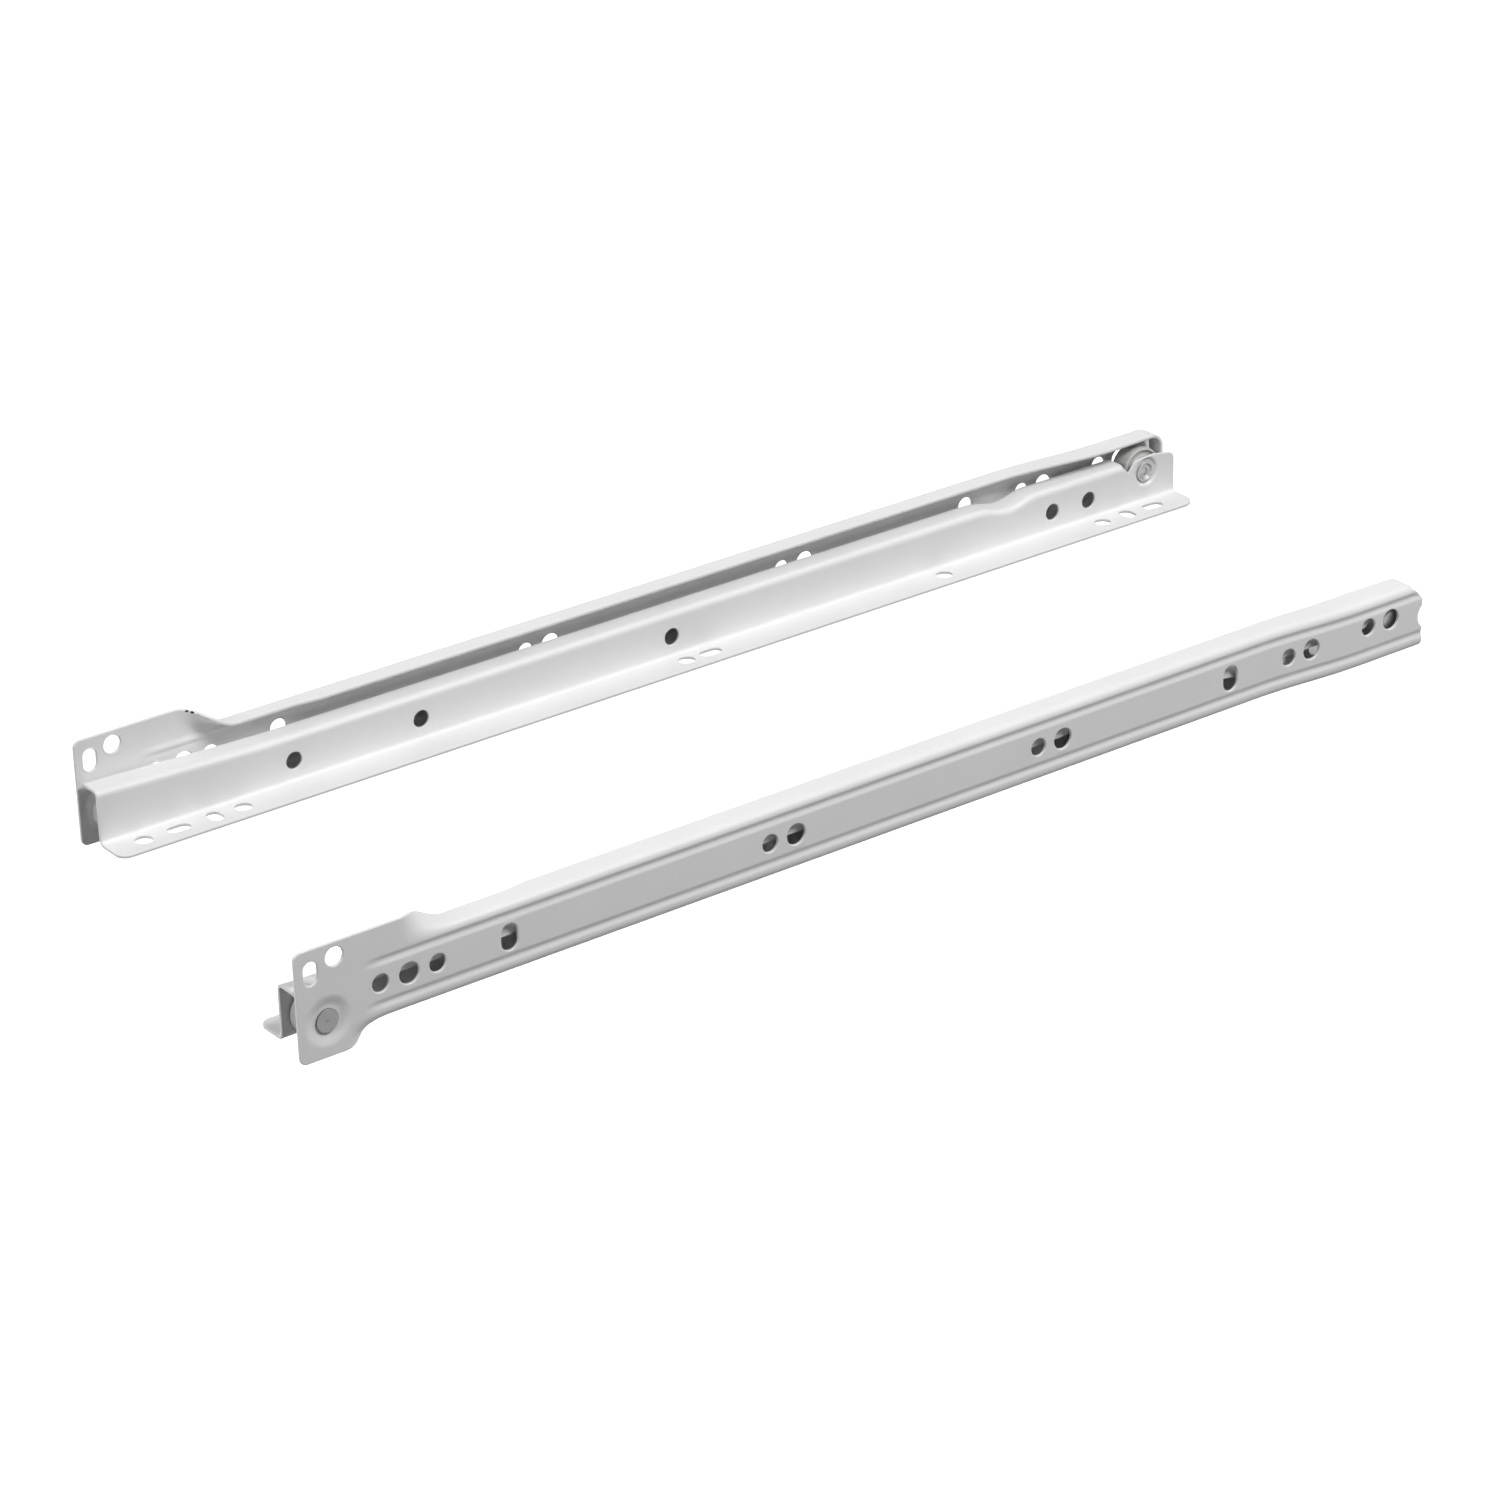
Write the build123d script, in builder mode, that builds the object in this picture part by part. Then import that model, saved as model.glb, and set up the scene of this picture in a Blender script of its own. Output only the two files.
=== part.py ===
from build123d import *
from math import radians, tan
import os

# A handed pair of bottom-mount roller drawer slides, closed. The right slide is drawn, and the left one is
# its mirror image. In the drawing X runs from the cabinet rail's front end to the rear, Y from the face of
# the cabinet side inwards, and Z up from the foot of the front plate. All sizes are in millimetres.

# Sheet, folds and the pair
RAIL_LENGTH = 400.0
SHEET = 1.0
CABINET_FOLD_RADIUS = 1.4
DRAWER_FOLD_RADIUS = 1.2
FOLD_LAP = 1.0
PAIR_SPACING = 151.0
PAIR_STAGGER = 22.4

# Cabinet rail: front plate and channel
PLATE_HEIGHT = 32.8
PLATE_TOP_LENGTH = 34.5
PLATE_FOOT_LENGTH = 16.8
PLATE_CORNER_RADIUS = 2.2
SHOULDER_ANGLE = 34.0
SHOULDER_RADIUS = 12.0
SHOULDER_LEAD = 2.0
CREST_RADIUS = 8.0
CHANNEL_BOTTOM = 5.3
CHANNEL_HEIGHT = 20.9
CHANNEL_REACH = 8.0
FRONT_REACH = 7.0
REACH_STEP_START = 70.0
REACH_STEP_LENGTH = 8.0
FLANGE_LEAD_LENGTH = 9.0
FLANGE_CORNER_RADIUS = 3.0

# Cabinet rail: self-closing dip at the rear, the bent-down lip that stops the roller, and the end notch
DIP_FROM_END = 65.0
DIP_LENGTH = 40.0
DIP_DROP = 1.4
DIP_RADIUS = 400.0
LIP_FROM_END = 1.3
LIP_FOLD_RADIUS = 6.5
LIP_HEIGHT = 10.0
LIP_REACH = 7.2
LIP_STEP_LENGTH = 1.0
END_NOTCH_RADIUS = 4.6
END_NOTCH_DEPTH = 1.6
END_NOTCH_HEIGHT = 14.0

# Cabinet rail: screw row, and the stiffening beads pressed into the web above and below it
ROW_HEIGHT = 16.0
BEAD_ABOVE_ROW = 6.5
BEAD_BELOW_ROW = 6.1
BEAD_WIDTH = 2.4
BEAD_DEPTH = 0.55
BEAD_START = 21.0
BEAD_FADE_LENGTH = 7.0
BEAD_TIP_SHARE = 0.1

# Cabinet rail: holes, measured along X from the rail's front end, or from its rear end where the name says so
SCREW_HOLE_DIAMETER = 6.4
SCREW_HOLES = (35.0, 163.0, 259.0)
SCREW_HOLES_FROM_REAR = (45.0,)
PEG_HOLE_DIAMETER = 5.35
PEG_HOLES = (26.0, 44.0, 154.0, 250.0)
PEG_HOLES_FROM_REAR = (54.0,)
REAR_SCREW_HOLE_FROM_REAR = 13.0
REAR_PEG_HOLE_FROM_REAR = 22.0
REAR_HOLE_RISE = 0.5
ROW_SLOTS = (67.0,)
ROW_SLOTS_FROM_REAR = (77.0,)
ROW_SLOT_WIDTH = 5.5
ROW_SLOT_LENGTH = 8.0
PLATE_SLOT_X = 4.9
PLATE_SLOT_HEIGHT = 25.8
PLATE_SLOT_WIDTH = 4.4
PLATE_SLOT_LENGTH = 7.0
PLATE_HOLE_X = 12.4
PLATE_HOLE_HEIGHT = 28.5
PLATE_HOLE_DIAMETER = 5.5

# Axles: rivets whose heads sit in dishes pressed into the rails
AXLE_DIAMETER = 5.0
AXLE_HEAD_DIAMETER = 6.9
AXLE_HEAD_THICKNESS = 0.65
KEEPER_DIAMETER = 8.2
KEEPER_THICKNESS = 0.9
KEEPER_CLEARANCE = 0.25
FRONT_MARK_DIAMETER = 1.0
FRONT_MARK_DEPTH = 0.3
REAR_CUP_DIAMETER = 5.6
REAR_CUP_FLOOR_DIAMETER = 3.2
REAR_CUP_DEPTH = 1.2
REAR_CUP_PIP = 0.4
DISH_DEPTH = 0.8
DISH_FLOOR_MARGIN = 0.5
FRONT_DISH_DIAMETER = 14.6
REAR_DISH_DIAMETER = 9.2
FRONT_AXLE_X = 9.3
FRONT_AXLE_HEIGHT = 10.6
REAR_AXLE_FROM_END = 11.8

# Rollers
FRONT_ROLLER_RADIUS = 6.6
REAR_ROLLER_RADIUS = 7.4
ROLLER_WIDTH = 6.6
ROLLER_EDGE_RADIUS = 0.7
ROLLER_RIM = 0.9
ROLLER_HUB_WALL = 0.5
ROLLER_RECESS_DEPTH = 0.6
BORE_CLEARANCE = 0.05
ROLLER_END_CLEARANCE = 0.3
TRACK_CLEARANCE = 0.25

# Drawer rail
DRAWER_SETBACK = 0.8
DRAWER_OVERHANG = 1.8
DRAWER_FACE = 10.7
DRAWER_RAIL_HEIGHT = 15.1
DRAWER_TOP_REACH = 8.5
DRAWER_TOP_CORNER_RADIUS = 3.5
SHELF_REACH = 12.3
SHELF_FRONT_RADIUS = 3.5
SHELF_REAR_RADIUS = 5.0

# Drawer rail: rear tab that carries the axle, behind a notch that ends the top flange
NOTCH_DEPTH = 2.8
NOTCH_SLOPE_LENGTH = 3.4
NOTCH_FLOOR_LENGTH = 1.4
TAB_START_FROM_END = 19.0
TAB_RISE_LENGTH = 2.6
TAB_RISE = 3.0
TAB_RISE_RADIUS = 1.5
TAB_CREST_FROM_END = 8.8
TAB_CREST_ABOVE_TOP = 0.8
TAB_CREST_RADIUS = 12.0
TAB_END_DROP = 1.5
TAB_CORNER_RADIUS = 2.5

# Drawer rail: ramp at the front of the top flange, which lets the drawer down as it closes
RAMP_LENGTH = 57.0
RAMP_RISE = 2.2
RAMP_BEND_RADIUS = 300.0

# Drawer rail: dip pressed into the top flange, which stops the rail at the front roller
STOP_FROM_END = 69.0
STOP_HALF_LENGTH = 11.0
STOP_DEPTH = 2.1
STOP_SHOULDER_RADIUS = 40.0
STOP_BOTTOM_RADIUS = 20.0

# Drawer rail: holes, measured along X from the rail's own front end, or from its rear end
DRAWER_HOLES = (65.0, 109.0, 200.0)
DRAWER_HOLES_FROM_REAR = (51.0, 36.0)
DRAWER_HOLE_DIAMETER = 5.4
DRAWER_HOLE_ABOVE_BOTTOM = 7.2
SHELF_HOLE_FROM_FACE = 5.0
SHELF_HOLES = (11.0, 44.0, 201.5)
SHELF_HOLES_FROM_REAR = (99.5, 34.5)
SHELF_HOLE_DIAMETER = 5.2
SHELF_SLOT_WIDTH = 4.2
LONG_SLOTS = (22.5, 210.5)
LONG_SLOTS_FROM_REAR = (13.5,)
LONG_SLOT_LENGTH = 7.4
CROSS_SLOTS = (34.5,)
CROSS_SLOTS_FROM_REAR = (24.0,)
CROSS_SLOT_LENGTH = 6.4

# Heights and places that follow from the sizes above
CHANNEL_TOP = CHANNEL_BOTTOM + CHANNEL_HEIGHT
CHANNEL_FLOOR = CHANNEL_BOTTOM + SHEET
DIP_START = RAIL_LENGTH - DIP_FROM_END
DIP_END = DIP_START + DIP_LENGTH
LIP_TOP = CHANNEL_TOP - DIP_DROP
LIP_FACE = RAIL_LENGTH - LIP_FROM_END
LIP_FOLD = LIP_FOLD_RADIUS + SHEET
LIP_START = LIP_FACE - LIP_FOLD
CABINET_FOLD = CABINET_FOLD_RADIUS + SHEET
DRAWER_FOLD = DRAWER_FOLD_RADIUS + SHEET
DRAWER_WEB_INNER = DRAWER_FACE - SHEET
DRAWER_END = RAIL_LENGTH + DRAWER_OVERHANG
DRAWER_LENGTH = DRAWER_END - DRAWER_SETBACK
TAB_START = DRAWER_END - TAB_START_FROM_END
DRAWER_TOP_END = TAB_START - NOTCH_FLOOR_LENGTH - NOTCH_SLOPE_LENGTH
STOP_X = DRAWER_END - STOP_FROM_END
RAMP_END = DRAWER_SETBACK + RAMP_LENGTH
DRAWER_TOP = FRONT_AXLE_HEIGHT + FRONT_ROLLER_RADIUS + TRACK_CLEARANCE + SHEET
DRAWER_BOTTOM = DRAWER_TOP - DRAWER_RAIL_HEIGHT
REAR_AXLE_X = DRAWER_END - REAR_AXLE_FROM_END
REAR_AXLE_HEIGHT = CHANNEL_FLOOR + TRACK_CLEARANCE + REAR_ROLLER_RADIUS
FRONT_SEAT = DISH_DEPTH
REAR_SEAT = DRAWER_FACE - DISH_DEPTH
DISH_FLOOR_RADIUS = AXLE_HEAD_DIAMETER / 2 + DISH_FLOOR_MARGIN
POCKET_RADIUS = KEEPER_DIAMETER / 2 + KEEPER_CLEARANCE
POCKET_DEPTH = KEEPER_THICKNESS + 2 * KEEPER_CLEARANCE
REFERENCE_X = (SCREW_HOLES[0] + RAIL_LENGTH - SCREW_HOLES_FROM_REAR[0]) / 2

# Lengths that only make cuts and sweeps run clear of the sheet
OVERRUN = 6.0
CUT = 2 * PLATE_HEIGHT


def folded_edge(route, bends, face, reach, fold, flange_side, web_side, plan, plan_radii):
    """A folded edge of sheet: a short web leg, the bend and a flange.

    route and bends draw the flange's outer face in side view, and plan and plan_radii its outline from
    above. face is the Y of the web's outside and fold the outside radius of the bend. flange_side is the
    sign of Y that the flange points to, and web_side the sign of Z that the web lies on.
    """
    leg = fold + 3 * FOLD_LAP

    def corner(across, along):
        return (face + flange_side * across, web_side * along)

    with BuildPart() as edge:
        with BuildLine(Plane.XZ):
            line = FilletPolyline(*route, radius=bends) if bends else Polyline(*route)
        with BuildSketch(Plane(origin=line @ 0, x_dir=(0, 1, 0), z_dir=line % 0)):
            with BuildLine():
                FilletPolyline(
                    corner(0, leg),
                    corner(0, 0),
                    corner(reach, 0),
                    corner(reach, SHEET),
                    corner(SHEET, SHEET),
                    corner(SHEET, leg),
                    radius=[0, fold, 0, 0, fold - SHEET, 0],
                    close=True,
                )
            make_face()
        sweep(path=line)
        with BuildSketch(Plane.XY):
            with BuildLine():
                FilletPolyline(*plan, radius=plan_radii, close=True)
            make_face()
        extrude(amount=CUT, both=True, mode=Mode.INTERSECT)
    return edge.part


def stations(length, from_front, from_rear):
    """Places along a rail of this length, measured from its front end and from its rear end."""
    return [*from_front, *[length - distance for distance in from_rear]]


def dipped(height):
    """Corners of a line at this height where it sinks into the self-closing dip."""
    return [(DIP_START, height), (DIP_END, height - DIP_DROP)]


def top_flange():
    """Top flange of the cabinet rail, from the front plate's shoulder to its rounded end at the lip."""
    shoulder = PLATE_TOP_LENGTH + SHOULDER_LEAD
    shoulder_run = (PLATE_HEIGHT - CHANNEL_TOP) / tan(radians(SHOULDER_ANGLE))
    route = [
        (PLATE_TOP_LENGTH - SHOULDER_LEAD, PLATE_HEIGHT),
        (shoulder, PLATE_HEIGHT),
        (shoulder + shoulder_run, CHANNEL_TOP),
        *dipped(CHANNEL_TOP),
        (RAIL_LENGTH, LIP_TOP),
    ]
    plan = [
        (PLATE_TOP_LENGTH - SHOULDER_LEAD, -SHEET),
        (PLATE_TOP_LENGTH - SHOULDER_LEAD, SHEET),
        (PLATE_TOP_LENGTH, SHEET),
        (PLATE_TOP_LENGTH + FLANGE_LEAD_LENGTH, FRONT_REACH),
        (REACH_STEP_START, FRONT_REACH),
        (REACH_STEP_START + REACH_STEP_LENGTH, CHANNEL_REACH),
        (LIP_START - LIP_STEP_LENGTH, CHANNEL_REACH),
        (LIP_START, LIP_REACH),
        (LIP_FACE, LIP_REACH),
        (LIP_FACE, -SHEET),
    ]
    bends = [CREST_RADIUS, SHOULDER_RADIUS, DIP_RADIUS, DIP_RADIUS]
    plan_radii = [0, 0, 0, FLANGE_CORNER_RADIUS, SHOULDER_RADIUS, SHOULDER_RADIUS, 0, 0, 0, 0]
    flange = folded_edge(route, bends, 0, CHANNEL_REACH, CABINET_FOLD, 1, -1, plan, plan_radii)
    with BuildPart() as rounded:
        add(flange)
        with BuildSketch(Plane.XZ):
            with Locations((LIP_FACE, LIP_TOP)):
                Rectangle(2 * LIP_FOLD, 2 * LIP_FOLD)
            with Locations((LIP_START, LIP_TOP - LIP_FOLD)):
                Circle(LIP_FOLD, mode=Mode.SUBTRACT)
        extrude(amount=CUT, both=True, mode=Mode.SUBTRACT)
    return rounded.part


def stop_lip():
    """Lip bent down from the end of the top flange, which the rear roller meets when the drawer is shut."""
    root = LIP_START - LIP_STEP_LENGTH
    profile = [
        (root, LIP_TOP),
        (LIP_FACE, LIP_TOP),
        (LIP_FACE, LIP_TOP - LIP_HEIGHT),
        (LIP_FACE - SHEET, LIP_TOP - LIP_HEIGHT),
        (LIP_FACE - SHEET, LIP_TOP - SHEET),
        (root, LIP_TOP - SHEET),
    ]
    with BuildPart() as lip:
        with BuildSketch(Plane.XZ.offset(-CABINET_FOLD)):
            with BuildLine():
                FilletPolyline(*profile, radius=[0, LIP_FOLD, 0, 0, LIP_FOLD_RADIUS, 0], close=True)
            make_face()
        extrude(amount=CABINET_FOLD - LIP_REACH)
    return lip.part


def floor_flange():
    """Bottom flange of the cabinet rail: the track of the rear roller, rising from the plate's foot."""
    foot_run = CHANNEL_BOTTOM / tan(radians(SHOULDER_ANGLE))
    route = [
        (PLATE_FOOT_LENGTH, 0),
        (PLATE_FOOT_LENGTH + foot_run, CHANNEL_BOTTOM),
        *dipped(CHANNEL_BOTTOM),
        (RAIL_LENGTH + OVERRUN, CHANNEL_BOTTOM - DIP_DROP),
    ]
    plan = [
        (PLATE_FOOT_LENGTH, -SHEET),
        (PLATE_FOOT_LENGTH, SHEET),
        (PLATE_FOOT_LENGTH + FLANGE_LEAD_LENGTH, CHANNEL_REACH),
        (RAIL_LENGTH, CHANNEL_REACH),
        (RAIL_LENGTH, -SHEET),
    ]
    bends = [SHOULDER_RADIUS, DIP_RADIUS, DIP_RADIUS]
    plan_radii = [0, 0, FLANGE_CORNER_RADIUS, FLANGE_CORNER_RADIUS, 0]
    return folded_edge(route, bends, 0, CHANNEL_REACH, CABINET_FOLD, 1, 1, plan, plan_radii)


def bead(height, face):
    """A rounded bead along the cabinet rail's web, from a faded tip at the front to the rear end."""
    stations = [
        (BEAD_START, height, BEAD_TIP_SHARE),
        (BEAD_START + BEAD_FADE_LENGTH, height, 1),
        *[(x, z, 1) for x, z in dipped(height)],
        (RAIL_LENGTH + OVERRUN, height - DIP_DROP, 1),
    ]
    with BuildPart() as pressed:
        for x, z, share in stations:
            half = share * BEAD_WIDTH / 2
            depth = share * BEAD_DEPTH
            with BuildSketch(Plane(origin=(x, face, z), x_dir=(0, 1, 0), z_dir=(1, 0, 0))):
                with BuildLine():
                    Polyline((0, -half), (-SHEET / 2, -half), (-SHEET / 2, half), (0, half))
                    ThreePointArc((0, half), (depth, 0), (0, -half))
                make_face()
        loft(ruled=True)
    return pressed.part


def cabinet_web():
    """Flat web of the cabinet rail with its front plate, short of the folds along top and bottom."""
    low = CHANNEL_BOTTOM + CABINET_FOLD + FOLD_LAP
    high = CHANNEL_TOP - CABINET_FOLD - FOLD_LAP
    foot_end = PLATE_FOOT_LENGTH + low / tan(radians(SHOULDER_ANGLE))
    shoulder_end = PLATE_TOP_LENGTH + (PLATE_HEIGHT - high) / tan(radians(SHOULDER_ANGLE))
    outline = [
        (0, 0),
        (PLATE_FOOT_LENGTH, 0),
        (foot_end, low),
        *dipped(low),
        (RAIL_LENGTH + OVERRUN, low - DIP_DROP),
        (RAIL_LENGTH + OVERRUN, high - DIP_DROP),
        *dipped(high)[::-1],
        (shoulder_end, high),
        (PLATE_TOP_LENGTH, PLATE_HEIGHT),
        (0, PLATE_HEIGHT),
    ]
    corners = [PLATE_CORNER_RADIUS, PLATE_CORNER_RADIUS, *[0] * 8, PLATE_CORNER_RADIUS, PLATE_CORNER_RADIUS]
    with BuildPart() as web:
        with BuildSketch(Plane.XZ):
            with BuildLine():
                FilletPolyline(*outline, radius=corners, close=True)
            make_face()
        extrude(amount=-SHEET)
    return web.part


def cabinet_rail():
    """Cabinet rail: a folded C-channel with a tall front plate that carries the front axle."""
    axle_hole = Plane(origin=(FRONT_AXLE_X, 0, FRONT_AXLE_HEIGHT), z_dir=(0, 1, 0))
    inner_face = Plane(origin=(FRONT_AXLE_X, SHEET, FRONT_AXLE_HEIGHT), z_dir=(0, 1, 0))
    bottom_up = (Align.CENTER, Align.CENTER, Align.MIN)
    bead_heights = (ROW_HEIGHT - BEAD_BELOW_ROW, ROW_HEIGHT + BEAD_ABOVE_ROW)
    rear_row = ROW_HEIGHT + REAR_HOLE_RISE
    screws = stations(RAIL_LENGTH, SCREW_HOLES, SCREW_HOLES_FROM_REAR)
    pegs = stations(RAIL_LENGTH, PEG_HOLES, PEG_HOLES_FROM_REAR)
    slots = stations(RAIL_LENGTH, ROW_SLOTS, ROW_SLOTS_FROM_REAR)
    end_screw = RAIL_LENGTH - REAR_SCREW_HOLE_FROM_REAR
    end_peg = RAIL_LENGTH - REAR_PEG_HOLE_FROM_REAR
    with BuildPart() as rail:
        add(cabinet_web())
        add(top_flange())
        add(floor_flange())
        for height in bead_heights:
            add(bead(height, SHEET))
        for height in bead_heights:
            add(bead(height, 0), mode=Mode.SUBTRACT)
        with Locations(inner_face):
            Cone(FRONT_DISH_DIAMETER / 2, DISH_FLOOR_RADIUS, DISH_DEPTH, align=bottom_up)
        with Locations(axle_hole):
            Cone(FRONT_DISH_DIAMETER / 2, DISH_FLOOR_RADIUS, DISH_DEPTH, align=bottom_up, mode=Mode.SUBTRACT)
        with BuildSketch(Plane.XZ):
            with Locations((FRONT_AXLE_X, FRONT_AXLE_HEIGHT)):
                Circle(AXLE_DIAMETER / 2)
            with Locations(*[(x, ROW_HEIGHT) for x in screws], (end_screw, rear_row)):
                Circle(SCREW_HOLE_DIAMETER / 2)
            with Locations(*[(x, ROW_HEIGHT) for x in pegs], (end_peg, rear_row)):
                Circle(PEG_HOLE_DIAMETER / 2)
            with Locations(*[(x, ROW_HEIGHT) for x in slots]):
                SlotOverall(ROW_SLOT_LENGTH, ROW_SLOT_WIDTH, rotation=90)
            with Locations((PLATE_HOLE_X, PLATE_HOLE_HEIGHT)):
                Circle(PLATE_HOLE_DIAMETER / 2)
            with Locations((PLATE_SLOT_X, PLATE_SLOT_HEIGHT)):
                SlotOverall(PLATE_SLOT_LENGTH, PLATE_SLOT_WIDTH, rotation=90)
            with Locations((RAIL_LENGTH + CUT / 2, 0)):
                Rectangle(CUT, 2 * CUT)
            with Locations((RAIL_LENGTH + END_NOTCH_RADIUS - END_NOTCH_DEPTH, END_NOTCH_HEIGHT)):
                Circle(END_NOTCH_RADIUS)
        extrude(amount=CUT, both=True, mode=Mode.SUBTRACT)
        add(stop_lip())
    return rail.part


def drawer_top_flange():
    """Top flange of the drawer rail, with the front ramp, the stop dip and the sloped end at the notch."""
    low_end = DRAWER_TOP_END + NOTCH_SLOPE_LENGTH
    tip = DRAWER_FACE - DRAWER_TOP_REACH
    ahead = DRAWER_SETBACK - SHEET
    route = [
        (ahead, DRAWER_TOP + RAMP_RISE * (RAMP_END - ahead) / RAMP_LENGTH),
        (RAMP_END, DRAWER_TOP),
        (STOP_X - STOP_HALF_LENGTH, DRAWER_TOP),
        (STOP_X, DRAWER_TOP - STOP_DEPTH),
        (STOP_X + STOP_HALF_LENGTH, DRAWER_TOP),
        (low_end, DRAWER_TOP),
    ]
    plan = [
        (DRAWER_SETBACK, DRAWER_FACE + SHEET),
        (DRAWER_SETBACK, tip),
        (DRAWER_TOP_END, tip),
        (DRAWER_TOP_END, DRAWER_WEB_INNER - DRAWER_FOLD_RADIUS),
        (low_end, DRAWER_WEB_INNER),
        (low_end, DRAWER_FACE + SHEET),
    ]
    bends = [RAMP_BEND_RADIUS, STOP_SHOULDER_RADIUS, STOP_BOTTOM_RADIUS, STOP_SHOULDER_RADIUS]
    plan_radii = [0, DRAWER_TOP_CORNER_RADIUS, DRAWER_TOP_CORNER_RADIUS, 0, 0, 0]
    flange = folded_edge(route, bends, DRAWER_FACE, DRAWER_TOP_REACH, DRAWER_FOLD, -1, -1, plan, plan_radii)
    with BuildPart() as trimmed:
        add(flange)
        with BuildSketch(Plane.XZ):
            with BuildLine():
                Polyline(
                    (DRAWER_TOP_END, DRAWER_TOP + SHEET),
                    (DRAWER_TOP_END, DRAWER_TOP - SHEET),
                    (low_end, DRAWER_TOP - NOTCH_DEPTH),
                    (low_end + SHEET, DRAWER_TOP + SHEET),
                    close=True,
                )
            make_face()
        extrude(amount=CUT, both=True, mode=Mode.SUBTRACT)
    return trimmed.part


def drawer_shelf():
    """Bottom flange of the drawer rail: the shelf that the drawer's side stands on."""
    outer = DRAWER_WEB_INNER + SHELF_REACH
    route = [(DRAWER_SETBACK, DRAWER_BOTTOM), (DRAWER_END, DRAWER_BOTTOM)]
    plan = [
        (DRAWER_SETBACK, DRAWER_WEB_INNER - SHEET),
        (DRAWER_END, DRAWER_WEB_INNER - SHEET),
        (DRAWER_END, outer),
        (DRAWER_SETBACK, outer),
    ]
    plan_radii = [0, 0, SHELF_REAR_RADIUS, SHELF_FRONT_RADIUS]
    return folded_edge(route, [], DRAWER_WEB_INNER, SHELF_REACH, DRAWER_FOLD, 1, 1, plan, plan_radii)


def drawer_web():
    """Flat web of the drawer rail with the rear tab, short of the folds along top and bottom."""
    low = DRAWER_BOTTOM + DRAWER_FOLD + FOLD_LAP
    high = DRAWER_TOP - NOTCH_DEPTH
    crest = DRAWER_TOP + TAB_CREST_ABOVE_TOP
    outline = [
        (DRAWER_SETBACK, low),
        (DRAWER_END, low),
        (DRAWER_END, crest - TAB_END_DROP),
        (DRAWER_END - TAB_CREST_FROM_END, crest),
        (TAB_START + TAB_RISE_LENGTH, high + TAB_RISE),
        (TAB_START, high),
        (STOP_X + STOP_HALF_LENGTH, high),
        (STOP_X, high - STOP_DEPTH),
        (STOP_X - STOP_HALF_LENGTH, high),
        (RAMP_END, high),
        (DRAWER_SETBACK, high + RAMP_RISE),
    ]
    corners = [0, 0, TAB_CORNER_RADIUS, TAB_CREST_RADIUS, TAB_RISE_RADIUS, TAB_RISE_RADIUS, 0, 0, 0, 0, 0]
    with BuildPart() as web:
        with BuildSketch(Plane.XZ.offset(-DRAWER_FACE)):
            with BuildLine():
                FilletPolyline(*outline, radius=corners, close=True)
            make_face()
        extrude(amount=SHEET)
    return web.part


def drawer_rail():
    """Drawer rail: a folded Z-rail whose rear tab carries the rear axle."""
    drawer_face = Plane(origin=(REAR_AXLE_X, DRAWER_FACE, REAR_AXLE_HEIGHT), z_dir=(0, -1, 0))
    inner_face = Plane(origin=(REAR_AXLE_X, DRAWER_WEB_INNER, REAR_AXLE_HEIGHT), z_dir=(0, -1, 0))
    bottom_up = (Align.CENTER, Align.CENTER, Align.MIN)
    hole_line = DRAWER_BOTTOM + DRAWER_HOLE_ABOVE_BOTTOM
    shelf_line = DRAWER_FACE + SHELF_HOLE_FROM_FACE
    web_holes = stations(DRAWER_LENGTH, DRAWER_HOLES, DRAWER_HOLES_FROM_REAR)
    shelf_holes = stations(DRAWER_LENGTH, SHELF_HOLES, SHELF_HOLES_FROM_REAR)
    long_slots = stations(DRAWER_LENGTH, LONG_SLOTS, LONG_SLOTS_FROM_REAR)
    cross_slots = stations(DRAWER_LENGTH, CROSS_SLOTS, CROSS_SLOTS_FROM_REAR)
    with BuildPart() as rail:
        add(drawer_web())
        add(drawer_top_flange())
        add(drawer_shelf())
        with Locations(inner_face):
            Cone(REAR_DISH_DIAMETER / 2, DISH_FLOOR_RADIUS, DISH_DEPTH, align=bottom_up)
        with Locations(drawer_face):
            Cone(REAR_DISH_DIAMETER / 2, DISH_FLOOR_RADIUS, DISH_DEPTH, align=bottom_up, mode=Mode.SUBTRACT)
        with BuildSketch(Plane.XZ.offset(-DRAWER_FACE)):
            with Locations((REAR_AXLE_X, REAR_AXLE_HEIGHT)):
                Circle(AXLE_DIAMETER / 2)
            with Locations(*[(DRAWER_SETBACK + x, hole_line) for x in web_holes]):
                Circle(DRAWER_HOLE_DIAMETER / 2)
        extrude(amount=DISH_DEPTH + 2 * SHEET, both=True, mode=Mode.SUBTRACT)
        with BuildSketch(Plane.XY.offset(DRAWER_BOTTOM)):
            with Locations(*[(DRAWER_SETBACK + x, shelf_line) for x in shelf_holes]):
                Circle(SHELF_HOLE_DIAMETER / 2)
            with Locations(*[(DRAWER_SETBACK + x, shelf_line) for x in long_slots]):
                SlotOverall(LONG_SLOT_LENGTH, SHELF_SLOT_WIDTH)
            with Locations(*[(DRAWER_SETBACK + x, shelf_line) for x in cross_slots]):
                SlotOverall(CROSS_SLOT_LENGTH, SHELF_SLOT_WIDTH, rotation=90)
        extrude(amount=2 * SHEET, both=True, mode=Mode.SUBTRACT)
    return rail.part


def turned(x, z, profile, radii):
    """A turned piece about the Y axis line through (x, z). profile holds (radius, Y) corners."""
    with BuildPart() as piece:
        with BuildSketch(Plane(origin=(x, 0, z))):
            with BuildLine():
                FilletPolyline(*profile, radius=radii, close=True)
            make_face()
        revolve(axis=Axis((x, 0, z), (0, 1, 0)))
    return piece.part


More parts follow.
